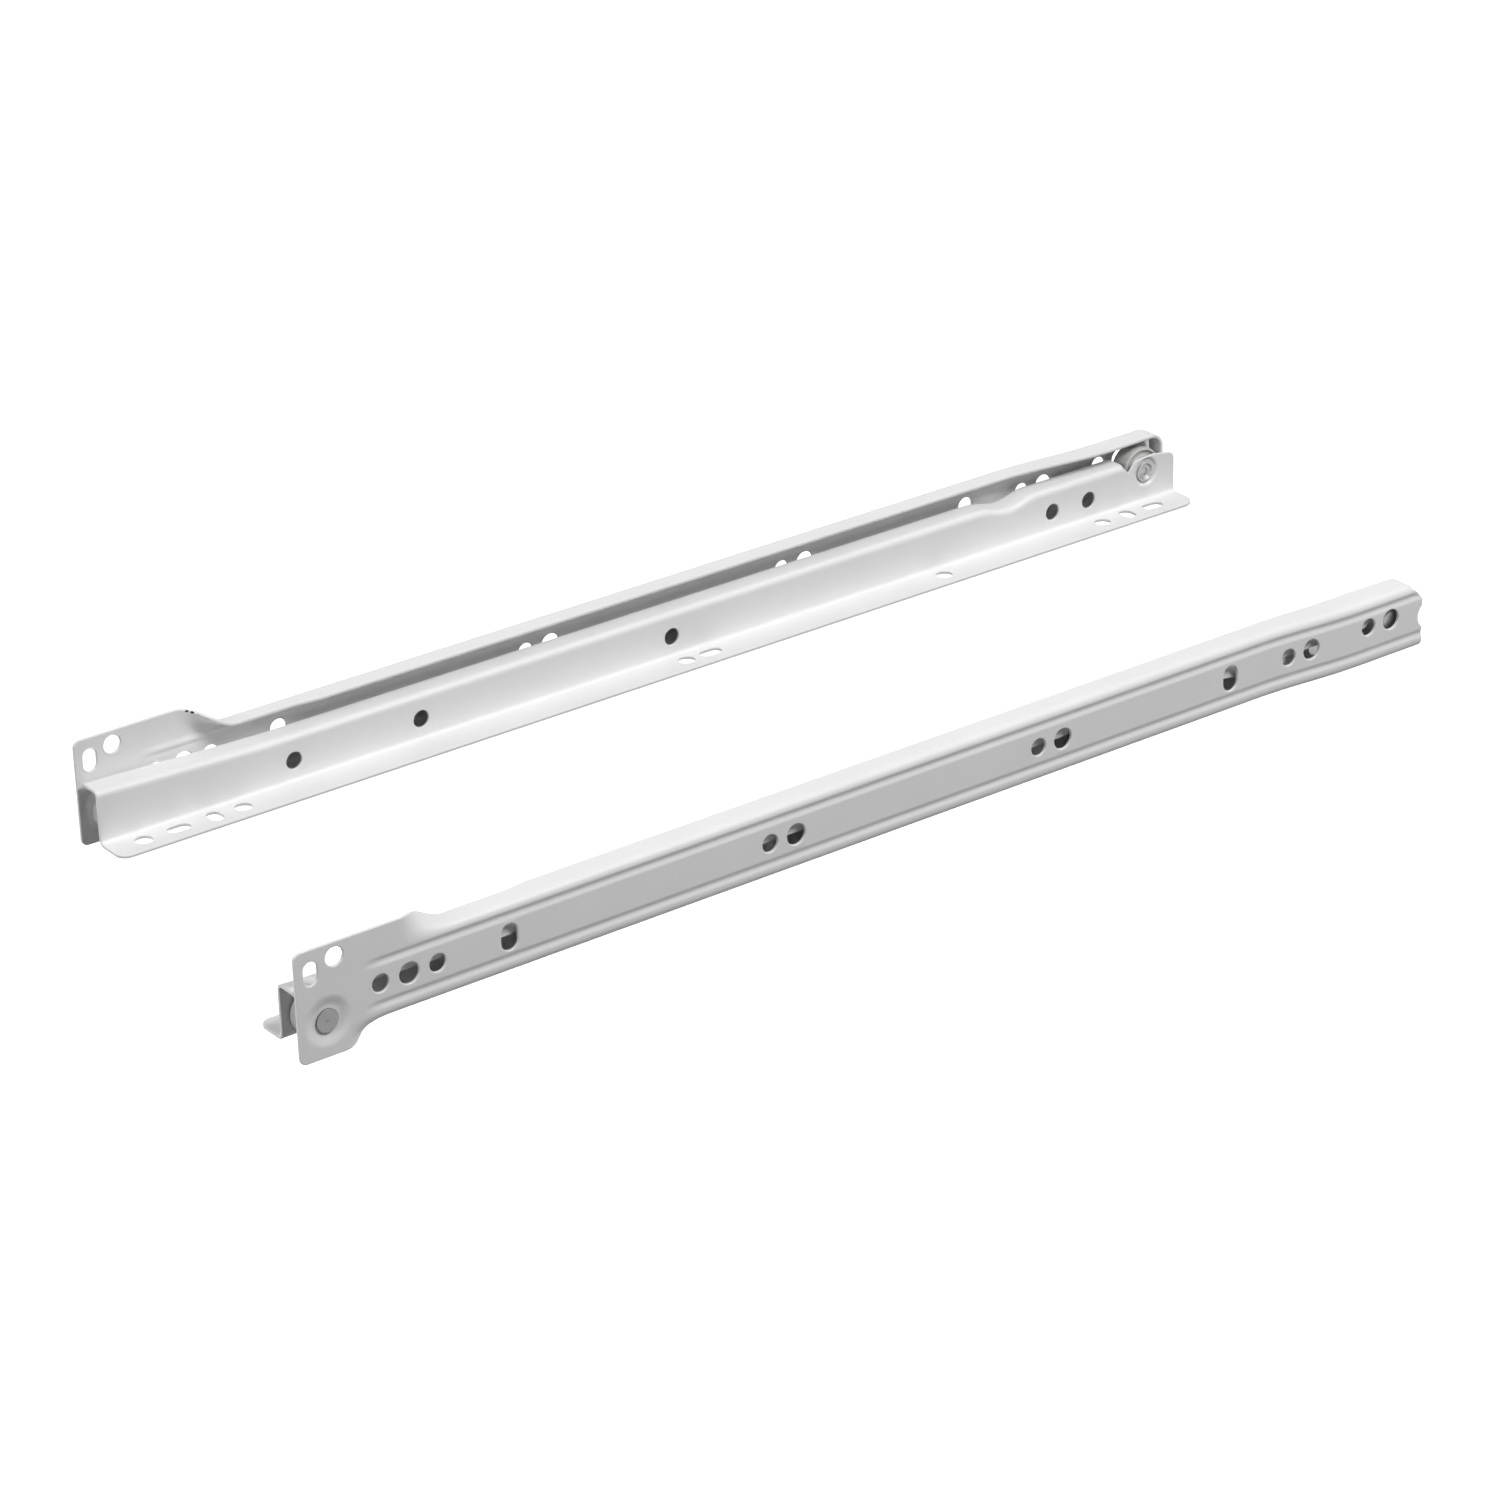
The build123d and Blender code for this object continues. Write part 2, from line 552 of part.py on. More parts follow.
def axle(x, z, seat, inward, recess):
    """Rivet axle: a flat head on the dish floor at seat, a plain shank and a keeper past the roller.

    recess lists the (diameter, depth) corners of the hollow in the head, from its middle to its rim.
    """
    head_top = seat - inward * AXLE_HEAD_THICKNESS
    keeper = seat + inward * (SHEET + ROLLER_END_CLEARANCE + ROLLER_WIDTH - POCKET_DEPTH + KEEPER_CLEARANCE)
    keeper_end = keeper + inward * KEEPER_THICKNESS
    profile = [
        *[(diameter / 2, head_top + inward * depth) for diameter, depth in recess],
        (AXLE_HEAD_DIAMETER / 2, head_top),
        (AXLE_HEAD_DIAMETER / 2, seat),
        (AXLE_DIAMETER / 2, seat),
        (AXLE_DIAMETER / 2, keeper),
        (KEEPER_DIAMETER / 2, keeper),
        (KEEPER_DIAMETER / 2, keeper_end),
        (0, keeper_end),
    ]
    edge = AXLE_HEAD_THICKNESS / 3
    return turned(x, z, profile, [*[0] * len(recess), edge, *[0] * 4, edge, 0])


def roller(x, z, seat, inward, radius):
    """Nylon roller: plain tread with rounded edges, recessed ends and a pocket for the axle's keeper."""
    near = seat + inward * (SHEET + ROLLER_END_CLEARANCE)
    far = near + inward * ROLLER_WIDTH
    recess = inward * ROLLER_RECESS_DEPTH
    pocket = far - inward * POCKET_DEPTH
    bore = AXLE_DIAMETER / 2 + BORE_CLEARANCE
    hub = POCKET_RADIUS + ROLLER_HUB_WALL
    rim = radius - ROLLER_RIM
    profile = [
        (bore, near),
        (hub, near),
        (hub, near + recess),
        (rim, near + recess),
        (rim, near),
        (radius, near),
        (radius, far),
        (rim, far),
        (rim, far - recess),
        (hub, far - recess),
        (hub, far),
        (POCKET_RADIUS, far),
        (POCKET_RADIUS, pocket),
        (bore, pocket),
    ]
    return turned(x, z, profile, [*[0] * 5, ROLLER_EDGE_RADIUS, ROLLER_EDGE_RADIUS, *[0] * 7])


def write_pair(piece, name):
    """Write a piece of the right slide, and its mirror image as the same piece of the left slide."""
    middle = Plane.XZ.offset(-PAIR_SPACING / 2)
    twin = Pos(PAIR_STAGGER, 0, 0) * mirror(piece, about=middle)
    for side, hand in (("right", piece), ("left", twin)):
        with BuildPart() as node:
            add(Pos(-REFERENCE_X, 0, -ROW_HEIGHT) * hand)
        node.part.label = f"{side}_{name}"
        export_step(node.part, f"parts/{side}_{name}.step")


os.makedirs("parts", exist_ok=True)
write_pair(cabinet_rail(), "cabinet_rail")
write_pair(drawer_rail(), "drawer_rail")

front = (FRONT_AXLE_X, FRONT_AXLE_HEIGHT, FRONT_SEAT, 1)
punch_mark = [(0, FRONT_MARK_DEPTH), (FRONT_MARK_DIAMETER, 0)]
write_pair(axle(*front, punch_mark), "front_axle")
write_pair(roller(*front, FRONT_ROLLER_RADIUS), "front_roller")

rear = (REAR_AXLE_X, REAR_AXLE_HEIGHT, REAR_SEAT, -1)
cup = [(0, REAR_CUP_DEPTH - REAR_CUP_PIP), (REAR_CUP_FLOOR_DIAMETER, REAR_CUP_DEPTH), (REAR_CUP_DIAMETER, 0)]
write_pair(axle(*rear, cup), "rear_axle")
write_pair(roller(*rear, REAR_ROLLER_RADIUS), "rear_roller")
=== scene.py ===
import logging
import math
from abc import ABC, abstractmethod
from dataclasses import dataclass, field
from enum import Enum

import bpy
import numpy as np
from mathutils import Matrix, Vector, kdtree
from mathutils.geometry import delaunay_2d_cdt


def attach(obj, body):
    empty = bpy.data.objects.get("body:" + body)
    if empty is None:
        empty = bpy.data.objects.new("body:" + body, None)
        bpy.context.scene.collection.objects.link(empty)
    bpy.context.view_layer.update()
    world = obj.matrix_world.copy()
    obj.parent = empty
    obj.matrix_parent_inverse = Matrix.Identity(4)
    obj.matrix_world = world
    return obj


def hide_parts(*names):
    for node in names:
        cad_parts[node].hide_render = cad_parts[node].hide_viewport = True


# A handed pair of roller drawer slides. Each rail is cut as a flat blank, pressed and folded as the real one
# is, then closed a sheet's thickness behind and given soft paint edges. Sizes are in millimetres in the frame
# of the right slide: X from the cabinet rail's front end to the rear, Y inwards from the face of the cabinet
# side, Z up from the foot of the front plate. Pair.place turns them into metres in the CAD model's frame.

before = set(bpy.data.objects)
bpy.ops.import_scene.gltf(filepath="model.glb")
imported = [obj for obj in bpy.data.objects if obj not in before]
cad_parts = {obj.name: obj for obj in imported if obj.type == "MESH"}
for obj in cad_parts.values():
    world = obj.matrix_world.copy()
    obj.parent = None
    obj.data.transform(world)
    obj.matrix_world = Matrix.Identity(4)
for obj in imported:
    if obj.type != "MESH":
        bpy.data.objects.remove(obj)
log = logging.getLogger("drawer_slides")
MM = 0.001
SQUARE_TURN = math.pi / 2
# X and Z of the axles of the front and the rear roller
FRONT_AXLE = (9.3, 10.6)
REAR_AXLE = (390.0, 13.95)
# Roundings: the share of a straight piece that two of them may take up, the largest angle of one of their
# short pieces, and the tangent length under which a corner stays sharp
ROUNDING_SHARE = 0.98
ROUNDING_ANGLE = 0.2
SHARP_TANGENT = 1e-3
# Least angle of a bend, and the lengths that count as nothing and as the same place
LEAST_TURN = 1e-5
TINY = 1e-6
SAME_PLACE = 1e-5
# Numbers of the colour sockets of a Mix node: both inputs and the result
MIX_FIRST = 6
MIX_SECOND = 7
MIX_RESULT = 2


class Hand(Enum):
    """The side of the cabinet that a slide belongs to."""

    RIGHT = "right"
    LEFT = "left"


def ease(value: np.ndarray) -> np.ndarray:
    """Smooth step from 0 to 1, flat at both ends."""
    share = np.clip(value, 0.0, 1.0)
    return share * share * (3.0 - 2.0 * share)


def circle(pieces: int, start: float = 0.0) -> np.ndarray:
    """Points of a circle of radius 1, one row each, from a start angle onwards."""
    angles = np.arange(pieces) / pieces * 2 * math.pi + start
    return np.stack((np.cos(angles), np.sin(angles)), axis=1)


def linear(colour: str) -> tuple[float, float, float, float]:
    """Turns an sRGB colour into the linear values that shaders take.

    Args:
        colour: hex value such as #F2F2F0.

    Returns:
        Linear red, green and blue, and 1 for alpha.
    """
    channels = [int(colour[start:start + 2], 16) / 255 for start in (1, 3, 5)]
    lit = [c / 12.92 if c <= 0.04045 else ((c + 0.055) / 1.055) ** 2.4 for c in channels]
    return (lit[0], lit[1], lit[2], 1.0)


def add_node(
    tree: bpy.types.NodeTree, kind: str, inputs: dict[str | int, object] | None = None, **settings: object
) -> bpy.types.Node:
    """Adds one node to a tree, with its settings and what goes into it.

    Args:
        tree: node tree of a material, a world or a Geometry Nodes group.
        kind: Blender's type name of the node.
        inputs: for each input socket, by name or number, the socket that is linked to it or its value.
        settings: properties of the node.

    Returns:
        The new node.
    """
    node = tree.nodes.new(kind)
    for name, value in settings.items():
        setattr(node, name, value)
    for name, value in (inputs or {}).items():
        if isinstance(value, bpy.types.NodeSocket):
            tree.links.new(value, node.inputs[name])
        else:
            node.inputs[name].default_value = value
    return node


def rounded(corners: list[tuple[float, float, float]], step: float, closed: bool = True) -> np.ndarray:
    """Outline with rounded corners, divided into short straight pieces.

    Args:
        corners: x, y and rounding radius of each corner in order.
        step: longest piece of the result.
        closed: whether the last corner joins the first.

    Returns:
        Points of the outline, one row each.
    """
    places = np.array([corner[:2] for corner in corners], dtype=float)
    ahead = np.roll(places, -1, axis=0) - places
    lengths = np.linalg.norm(ahead, axis=1)
    ahead /= lengths[:, None]
    halves = np.arccos(np.clip(-np.sum(np.roll(ahead, 1, axis=0) * ahead, axis=1), -1, 1)) / 2
    tangents = np.array([corner[2] for corner in corners]) / np.tan(halves)
    if not closed:
        tangents[[0, -1]] = 0.0
    # Neighbouring roundings share the straight piece between them where it is too short for both
    wanted = np.maximum(tangents + np.roll(tangents, -1), TINY)
    share = np.minimum(1.0, ROUNDING_SHARE * lengths / wanted)
    tangents *= np.minimum(share, np.roll(share, 1))
    path: list[np.ndarray] = []
    for index, (here, tangent, half) in enumerate(zip(places, tangents, halves)):
        before, after = -ahead[index - 1], ahead[index]
        if tangent < SHARP_TANGENT:
            path.append(here)
            continue
        radius = tangent * math.tan(half)
        middle = here + (before + after) / np.linalg.norm(before + after) * radius / math.sin(half)
        start = here + before * tangent - middle
        stop = here + after * tangent - middle
        sweep = math.atan2(start[0] * stop[1] - start[1] * stop[0], start @ stop)
        pieces = max(2, math.ceil(abs(sweep) * radius / step), math.ceil(abs(sweep) / ROUNDING_ANGLE))
        for angle in np.linspace(0, sweep, pieces + 1):
            turn = np.array(((math.cos(angle), -math.sin(angle)), (math.sin(angle), math.cos(angle))))
            path.append(middle + turn @ start)
    divided: list[np.ndarray] = []
    for index, here in enumerate(path):
        if index == len(path) - 1 and not closed:
            divided.append(here)
            break
        there = path[(index + 1) % len(path)]
        pieces = max(1, math.ceil(np.linalg.norm(there - here) / step))
        divided.extend(here + (there - here) * part for part in np.arange(pieces) / pieces)
    return np.array(divided)


def bent(travel: np.ndarray, angle: np.ndarray | float, arc: float) -> tuple[np.ndarray, np.ndarray]:
    """Where sheet goes that leaves a flat web over a bend.

    Args:
        travel: distance past the bend line on the flat blank.
        angle: angle that the sheet is turned through.
        arc: length of blank that the bend takes up.

    Returns:
        Distance out of the web's plane, and distance along the web past the bend line.
    """
    turn = np.maximum(np.broadcast_to(angle, travel.shape), LEAST_TURN)
    radius = arc / turn
    part = np.clip(travel, 0, arc) / radius
    past = np.maximum(travel - arc, 0)
    return radius * (1 - np.cos(part)) + past * np.sin(turn), radius * np.sin(part) + past * np.cos(turn)


def thinned(points: np.ndarray, gap: float) -> np.ndarray:
    """Leaves out points that lie closer than a gap to one that comes before them.

    Args:
        points: points in order of preference, one row each.
        gap: least distance that is kept.

    Returns:
        The points that are left.
    """
    taken: dict[tuple[int, int], list[np.ndarray]] = {}
    kept: list[np.ndarray] = []
    for point in points:
        column, line = (int(v) for v in np.floor(point / gap))
        cells = [(column + dx, line + dy) for dx in (-1, 0, 1) for dy in (-1, 0, 1)]
        rivals = [rival for cell in cells for rival in taken.get(cell, [])]
        if all(math.dist(point, rival) >= gap for rival in rivals):
            taken.setdefault((column, line), []).append(point)
            kept.append(point)
    return np.array(kept)


def in_outline(points: np.ndarray, outline: np.ndarray) -> np.ndarray:
    """Which points lie inside a closed outline.

    Args:
        points: points to test, one row each.
        outline: corners of the outline in order.

    Returns:
        True for each point inside.
    """
    inside = np.zeros(len(points), dtype=bool)
    x, y = points[:, 0], points[:, 1]
    for (ax, ay), (bx, by) in zip(outline, np.roll(outline, -1, axis=0)):
        if ay != by:
            inside ^= ((ay > y) != (by > y)) & (x < (bx - ax) * (y - ay) / (by - ay) + ax)
    return inside


def loop_edges(loops: list[np.ndarray]) -> list[tuple[int, int]]:
    """Edges of closed loops whose points are numbered one loop after the other.

    Args:
        loops: points of each loop in order.

    Returns:
        Numbers of both ends of each edge.
    """
    edges: list[tuple[int, int]] = []
    for loop in loops:
        start, size = len(edges), len(loop)
        edges.extend((start + index, start + (index + 1) % size) for index in range(size))
    return edges


@dataclass(frozen=True)
class Pair:
    """Where the two slides of the pair lie in the frame of the CAD model."""

    reference_x: float = 195.0
    row_height: float = 16.0
    spacing: float = 151.0
    stagger: float = 22.4

    def place(self, points: np.ndarray, hand: Hand) -> np.ndarray:
        """Puts points into the frame of the CAD model.

        Args:
            points: points of the right slide in millimetres, one row each.
            hand: slide that they are for; the left one is the mirror image, set back by the stagger.

        Returns:
            The points in metres.
        """
        placed = np.array(points, dtype=float)
        if hand is Hand.LEFT:
            placed[:, 0] += self.stagger
            placed[:, 1] = self.spacing - placed[:, 1]
        return (placed - (self.reference_x, 0.0, self.row_height)) * MM


PAIR = Pair()


@dataclass(frozen=True)
class Hole:
    """A round hole or a slot with round ends, on the flat blank."""

    x: float
    y: float
    width: float
    length: float = 0.0
    upright: bool = False
    pieces: int = 44

    def ends(self) -> tuple[np.ndarray, np.ndarray]:
        """Works out where the hole's round ends lie.

        Returns:
            Centres of both ends, which are the same for a round hole.
        """
        half = max(self.length - self.width, 0.0) / 2
        along = np.array((0.0, half) if self.upright else (half, 0.0))
        return np.array((self.x, self.y)) - along, np.array((self.x, self.y)) + along

    def outline(self, margin: float = 0.0) -> np.ndarray:
        """Draws the edge of the hole.

        Args:
            margin: distance outside the edge.

        Returns:
            Points of a closed line at this distance.
        """
        first, last = self.ends()
        ring = circle(self.pieces, math.pi / self.pieces)
        beyond = ring[:, 1 if self.upright else 0] > 0
        return np.where(beyond[:, None], last, first) + ring * (self.width / 2 + margin)

    def distance(self, points: np.ndarray) -> np.ndarray:
        """Measures how far points lie from the edge.

        Args:
            points: points of the blank, one row each.

        Returns:
            Distance of each point, negative inside the hole.
        """
        first, last = self.ends()
        along = last - first
        share = np.clip((points - first) @ along / max(float(along @ along), TINY), 0, 1)
        return np.linalg.norm(points - first - share[:, None] * along, axis=1) - self.width / 2


@dataclass(frozen=True)
class Dish:
    """A round dish that is pressed into a web for the head of an axle, with the axle's hole in it."""

    centre: tuple[float, float]
    radii: tuple[float, float]
    margin: float
    ring_step: float
    ring_pieces: int
    first_ring: float = 3.4
    depth: float = 0.8
    hole: float = 5.04

    def off(self, points: np.ndarray) -> np.ndarray:
        """Distance of points from the centre."""
        return np.linalg.norm(points - self.centre, axis=1)

    def reach(self) -> float:
        """Radius up to which rings of points follow the dish."""
        return self.radii[1] + self.margin

    def sunk(self, points: np.ndarray) -> np.ndarray:
        """How far points of the web are pressed in."""
        inner, outer = self.radii
        return self.depth * (1 - ease((self.off(points) - inner) / (outer - inner)))

    def rings(self) -> np.ndarray:
        """Rings of points that let the blank follow the dish."""
        radii = np.arange(self.first_ring, self.reach(), self.ring_step)
        return np.concatenate([circle(self.ring_pieces) * radius + self.centre for radius in radii])


@dataclass(frozen=True)
class Finish:
    """A finish whose colour and gloss drift in soft clouds, over a fine grain. Sizes are in millimetres."""

    name: str
    colour: str
    cloud_colour: str
    roughness: float
    gloss_drift: tuple[float, float]
    cloud: float
    cloud_detail: float
    grain: float
    grain_detail: float
    grain_depth: float

    def constants(self) -> dict[str, object]:
        """Values of the shader that are the same all over the surface."""
        return {}

    def patched(
        self, tree: bpy.types.NodeTree, place: bpy.types.NodeSocket, colour: bpy.types.NodeSocket
    ) -> bpy.types.NodeSocket:
        """Colour of the surface with its dark patches, which are none unless a finish has some."""
        return colour

    def material(self) -> bpy.types.Material:
        """Makes the finish.

        Returns:
            Material on Object coordinates.
        """
        material = bpy.data.materials.new(self.name)
        material.use_nodes = True
        tree = material.node_tree
        shader = tree.nodes["Principled BSDF"]
        place = add_node(tree, "ShaderNodeTexCoord").outputs["Object"]
        # Clouds keep wide faces from being one flat tone, in colour and in gloss
        noise = {"Vector": place, "Scale": 1 / (self.cloud * MM), "Detail": self.cloud_detail}
        cloud = add_node(tree, "ShaderNodeTexNoise", noise).outputs["Fac"]
        tones = {"Factor": cloud, MIX_FIRST: linear(self.cloud_colour), MIX_SECOND: linear(self.colour)}
        tone = add_node(tree, "ShaderNodeMix", tones, data_type="RGBA").outputs[MIX_RESULT]
        low, high = self.gloss_drift
        drift = {"Value": cloud, "To Min": self.roughness - low, "To Max": self.roughness + high}
        gloss = add_node(tree, "ShaderNodeMapRange", drift).outputs["Result"]
        # The grain softens and breaks up the highlights
        noise = {"Vector": place, "Scale": 1 / (self.grain * MM), "Detail": self.grain_detail}
        grain = add_node(tree, "ShaderNodeTexNoise", noise).outputs["Fac"]
        relief = {"Strength": 1.0, "Distance": self.grain_depth * MM, "Height": grain}
        bump = add_node(tree, "ShaderNodeBump", relief).outputs["Normal"]
        tree.links.new(self.patched(tree, place, tone), shader.inputs["Base Color"])
        tree.links.new(gloss, shader.inputs["Roughness"])
        tree.links.new(bump, shader.inputs["Normal"])
        for socket, value in self.constants().items():
            shader.inputs[socket].default_value = value
        return material


@dataclass(frozen=True)
class EpoxyCoat(Finish):
    """White epoxy powder coat, sprayed on sheet steel and baked, and drawn near black in small ragged patches
    at two tight bends.
    """

    # To the eye: satin white, a little thicker here and there, with highlights on the bends that are softened
    # by orange peel in cells of about a millimetre, and near black in small ragged patches at two tight bends
    name: str = "epoxy_powder_coat"
    colour: str = "#F0F0F0"
    cloud_colour: str = "#E8E8E8"
    roughness: float = 0.36
    gloss_drift: tuple[float, float] = (0.04, 0.05)
    cloud: float = 22.0
    cloud_detail: float = 2.0
    grain: float = 1.1
    grain_detail: float = 1.0
    grain_depth: float = 0.0022
    ior: float = 1.5
    shine: float = 0.3
    # Near black that the coat turns to in its dark ragged patches
    steel: str = "#1E1E1D"
    # X, Y and Z of each dark patch in the frame of the CAD model, and its radius
    dark_patches: tuple[tuple[float, float, float, float], ...] = (
        (-172.1, 0.9, -11.0, 0.95),
        (-136.2, 148.5, 16.2, 0.7),
        (-135.0, 147.6, 15.6, 0.9),
        (-133.7, 146.6, 14.8, 0.7),
    )
    patch_spread: float = 1.25
    patch_grain: float = 0.6
    patch_detail: float = 3.0

    def constants(self) -> dict[str, object]:
        """Values of the shader that are the same all over the surface."""
        return {"IOR": self.ior, "Specular IOR Level": self.shine}

    def patched(
        self, tree: bpy.types.NodeTree, place: bpy.types.NodeSocket, colour: bpy.types.NodeSocket
    ) -> bpy.types.NodeSocket:
        """Turns the coat near black in ragged patches round the listed points.

        Args:
            tree: node tree of the material.
            place: socket with the Object coordinates.
            colour: socket with the colour of the whole coat.

        Returns:
            Socket with the colour of the coat and, in ragged patches, near black.
        """
        noise = {"Vector": place, "Scale": 1 / (self.patch_grain * MM), "Detail": self.patch_detail}
        ragged = add_node(tree, "ShaderNodeTexNoise", noise).outputs["Fac"]
        for x, y, z, radius in self.dark_patches:
            spot = {0: place, 1: (x * MM, y * MM, z * MM)}
            away = add_node(tree, "ShaderNodeVectorMath", spot, operation="DISTANCE").outputs["Value"]
            reach = {0: ragged, 1: radius * MM, 2: away}
            edge = add_node(tree, "ShaderNodeMath", reach, operation="MULTIPLY_ADD").outputs[0]
            limit = {0: edge, 1: self.patch_spread * radius * MM}
            patch_mask = add_node(tree, "ShaderNodeMath", limit, operation="LESS_THAN").outputs[0]
            tones = {"Factor": patch_mask, MIX_FIRST: colour, MIX_SECOND: linear(self.steel)}
            colour = add_node(tree, "ShaderNodeMix", tones, data_type="RGBA").outputs[MIX_RESULT]
        return colour


@dataclass(frozen=True)
class MouldedNylon(Finish):
    """Natural white nylon, moulded."""

    # To the eye: milky and matt, with faint flow marks, and light that goes a little way in. The grain of the
    # mould is drawn coarser than it is, so that it shows
    name: str = "moulded_nylon"
    # Both colours are greyer than the white of the nylon: painted shade, which stands in for the shade that
    # falls on the rollers deep inside the rails
    colour: str = "#CACAC7"
    cloud_colour: str = "#BDBDBA"
    roughness: float = 0.48
    gloss_drift: tuple[float, float] = (0.06, 0.06)
    cloud: float = 2.6
    cloud_detail: float = 3.0
    grain: float = 0.45
    grain_detail: float = 2.0
    grain_depth: float = 0.006
    ior: float = 1.53
    milk: float = 0.12
    milk_depth: float = 0.8
    milk_spread: tuple[float, float, float] = (1.0, 0.9, 0.8)

    def constants(self) -> dict[str, object]:
        """Gives the shader's values that are the same all over the surface.

        Returns:
            Value of each socket, by its name.
        """
        return {
            "IOR": self.ior,
            "Subsurface Weight": self.milk,
            "Subsurface Radius": self.milk_spread,
            "Subsurface Scale": self.milk_depth * MM,
        }


@dataclass(frozen=True)
class ZincPlate(Finish):
    """Zinc-plated steel, pressed by the riveting tool."""

    # To the eye: dull grey metal with cloudy plating. The marks of the tool are drawn coarser than they are,
    # so that they show
    name: str = "zinc_plated_steel"
    colour: str = "#7F7F7F"
    cloud_colour: str = "#6A6A6A"
    roughness: float = 0.42
    gloss_drift: tuple[float, float] = (0.08, 0.1)
    cloud: float = 1.6
    cloud_detail: float = 4.0
    grain: float = 0.35
    grain_detail: float = 3.0
    grain_depth: float = 0.012

    def constants(self) -> dict[str, object]:
        """Values of the shader that are the same all over the surface."""
        return {"Metallic": 1.0}


@dataclass
class Finishes:
    """The finishes of the pair, each made once."""

    coat: bpy.types.Material
    nylon: bpy.types.Material
    zinc: bpy.types.Material
    # Lighter copy of the zinc plating for the rear rivets: painted light, which stands in for the light that
    # they catch
    painted_light_zinc: bpy.types.Material


def linked(name: str, data: bpy.types.ID) -> bpy.types.Object:
    """Puts a mesh, a lamp or a camera into the scene.

    Args:
        name: name of the object.
        data: what it shows.

    Returns:
        The object, at the origin.
    """
    made = bpy.data.objects.new(name, data)
    bpy.context.scene.collection.objects.link(made)
    return made


def new_mesh(
    name: str, points: np.ndarray, edges: list[tuple[int, int]], faces: list[tuple[int, ...]]
) -> bpy.types.Mesh:
    """Makes a mesh.

    Args:
        name: name of the mesh.
        points: its points in metres, one row each.
        edges: its loose edges.
        faces: its faces.

    Returns:
        The mesh.
    """
    mesh = bpy.data.meshes.new(name)
    mesh.from_pydata(points.tolist(), edges, faces)
    return mesh


def new_piece(name: str, mesh: bpy.types.Mesh, material: bpy.types.Material) -> bpy.types.Object:
    """Puts a finished mesh into the scene.

    Args:
        name: name of the piece.
        mesh: its mesh, already in place.
        material: its finish.

    Returns:
        The piece, at the origin.
    """
    mesh.name = name
    mesh.materials.clear()
    mesh.materials.append(material)
    mesh.shade_smooth()
    return linked(name, mesh)


def plain_mesh(carrier: bpy.types.Object) -> bpy.types.Mesh:
    """Turns what an object's modifiers make of it into a plain mesh, and removes the object.

    Args:
        carrier: object with live modifiers.

    Returns:
        The mesh that they make.
    """
    bpy.context.view_layer.update()
    made = bpy.data.meshes.new_from_object(carrier.evaluated_get(bpy.context.evaluated_depsgraph_get()))
    carrier.modifiers.clear()
    bpy.data.objects.remove(carrier)
    return made


def carry(piece: bpy.types.Object, body: str, node: str | None = None) -> None:
    """Lets a piece ride on a body, and stand for a CAD node where it has one.

    Args:
        piece: the finished piece.
        body: name of the body that it moves with.
        node: CAD node that the piece replaces.
    """
    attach(piece, body)
    if node:
        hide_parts(node)
    log.info("%s rides on %s with %d faces", piece.name, body, len(piece.data.polygons))


def new_tree(
    name: str, inputs: dict[str, str]
) -> tuple[bpy.types.NodeTree, dict[str, bpy.types.NodeSocket]]:
    """Starts a Geometry Nodes tree.

    Args:
        name: name of the tree.
        inputs: socket type of each named input.

    Returns:
        The tree, and the sockets that give its inputs, with the geometry that it works on among them.
    """
    tree = bpy.data.node_groups.new(name, "GeometryNodeTree")
    tree.interface.new_socket("Geometry", in_out="INPUT", socket_type="NodeSocketGeometry")
    tree.interface.new_socket("Geometry", in_out="OUTPUT", socket_type="NodeSocketGeometry")
    for label, kind in inputs.items():
        tree.interface.new_socket(label, in_out="INPUT", socket_type=kind)
    given = add_node(tree, "NodeGroupInput").outputs
    return tree, {label: given[label] for label in ("Geometry", *inputs)}


def end_tree(tree: bpy.types.NodeTree, made: bpy.types.NodeSocket, finish: bpy.types.NodeSocket) -> None:
    """Ends a Geometry Nodes tree: what it made becomes real geometry with a finish.

    Args:
        tree: the tree.
        made: socket with the geometry.
        finish: socket with the material.
    """
    real = add_node(tree, "GeometryNodeRealizeInstances", {"Geometry": made}).outputs["Geometry"]
    dressing = {"Geometry": real, "Material": finish}
    dressed = add_node(tree, "GeometryNodeSetMaterial", dressing).outputs["Geometry"]
    add_node(tree, "NodeGroupOutput", {"Geometry": dressed})


def run_tree(carrier: bpy.types.Object, tree: bpy.types.NodeTree, sizes: dict[str, object]) -> None:
    """Puts a Geometry Nodes tree on an object and sets its inputs.

    Args:
        carrier: object that the tree works on.
        tree: the tree.
        sizes: value of each named input.
    """
    modifier = carrier.modifiers.new(tree.name, "NODES")
    modifier.node_group = tree
    for socket in tree.interface.items_tree:
        if socket.item_type == "SOCKET" and socket.in_out == "INPUT" and socket.name in sizes:
            modifier[socket.identifier] = sizes[socket.name]


def rim_tree() -> bpy.types.NodeTree:
    """Builds the tree that lays a thin round rim along the edge paths of all holes.

    Returns:
        The tree, with the rim's radius, its sides and its finish as inputs.
    """
    sockets = {"Rim Radius": "NodeSocketFloat", "Sides": "NodeSocketInt", "Finish": "NodeSocketMaterial"}
    tree, given = new_tree("punched_rims", sockets)
    path = add_node(tree, "GeometryNodeMeshToCurve", {"Mesh": given["Geometry"]}).outputs["Curve"]
    ring = {"Radius": given["Rim Radius"], "Resolution": given["Sides"]}
    section = add_node(tree, "GeometryNodeCurvePrimitiveCircle", ring).outputs["Curve"]
    rim = add_node(tree, "GeometryNodeCurveToMesh", {"Curve": path, "Profile Curve": section})
    end_tree(tree, rim.outputs["Mesh"], given["Finish"])
    return tree


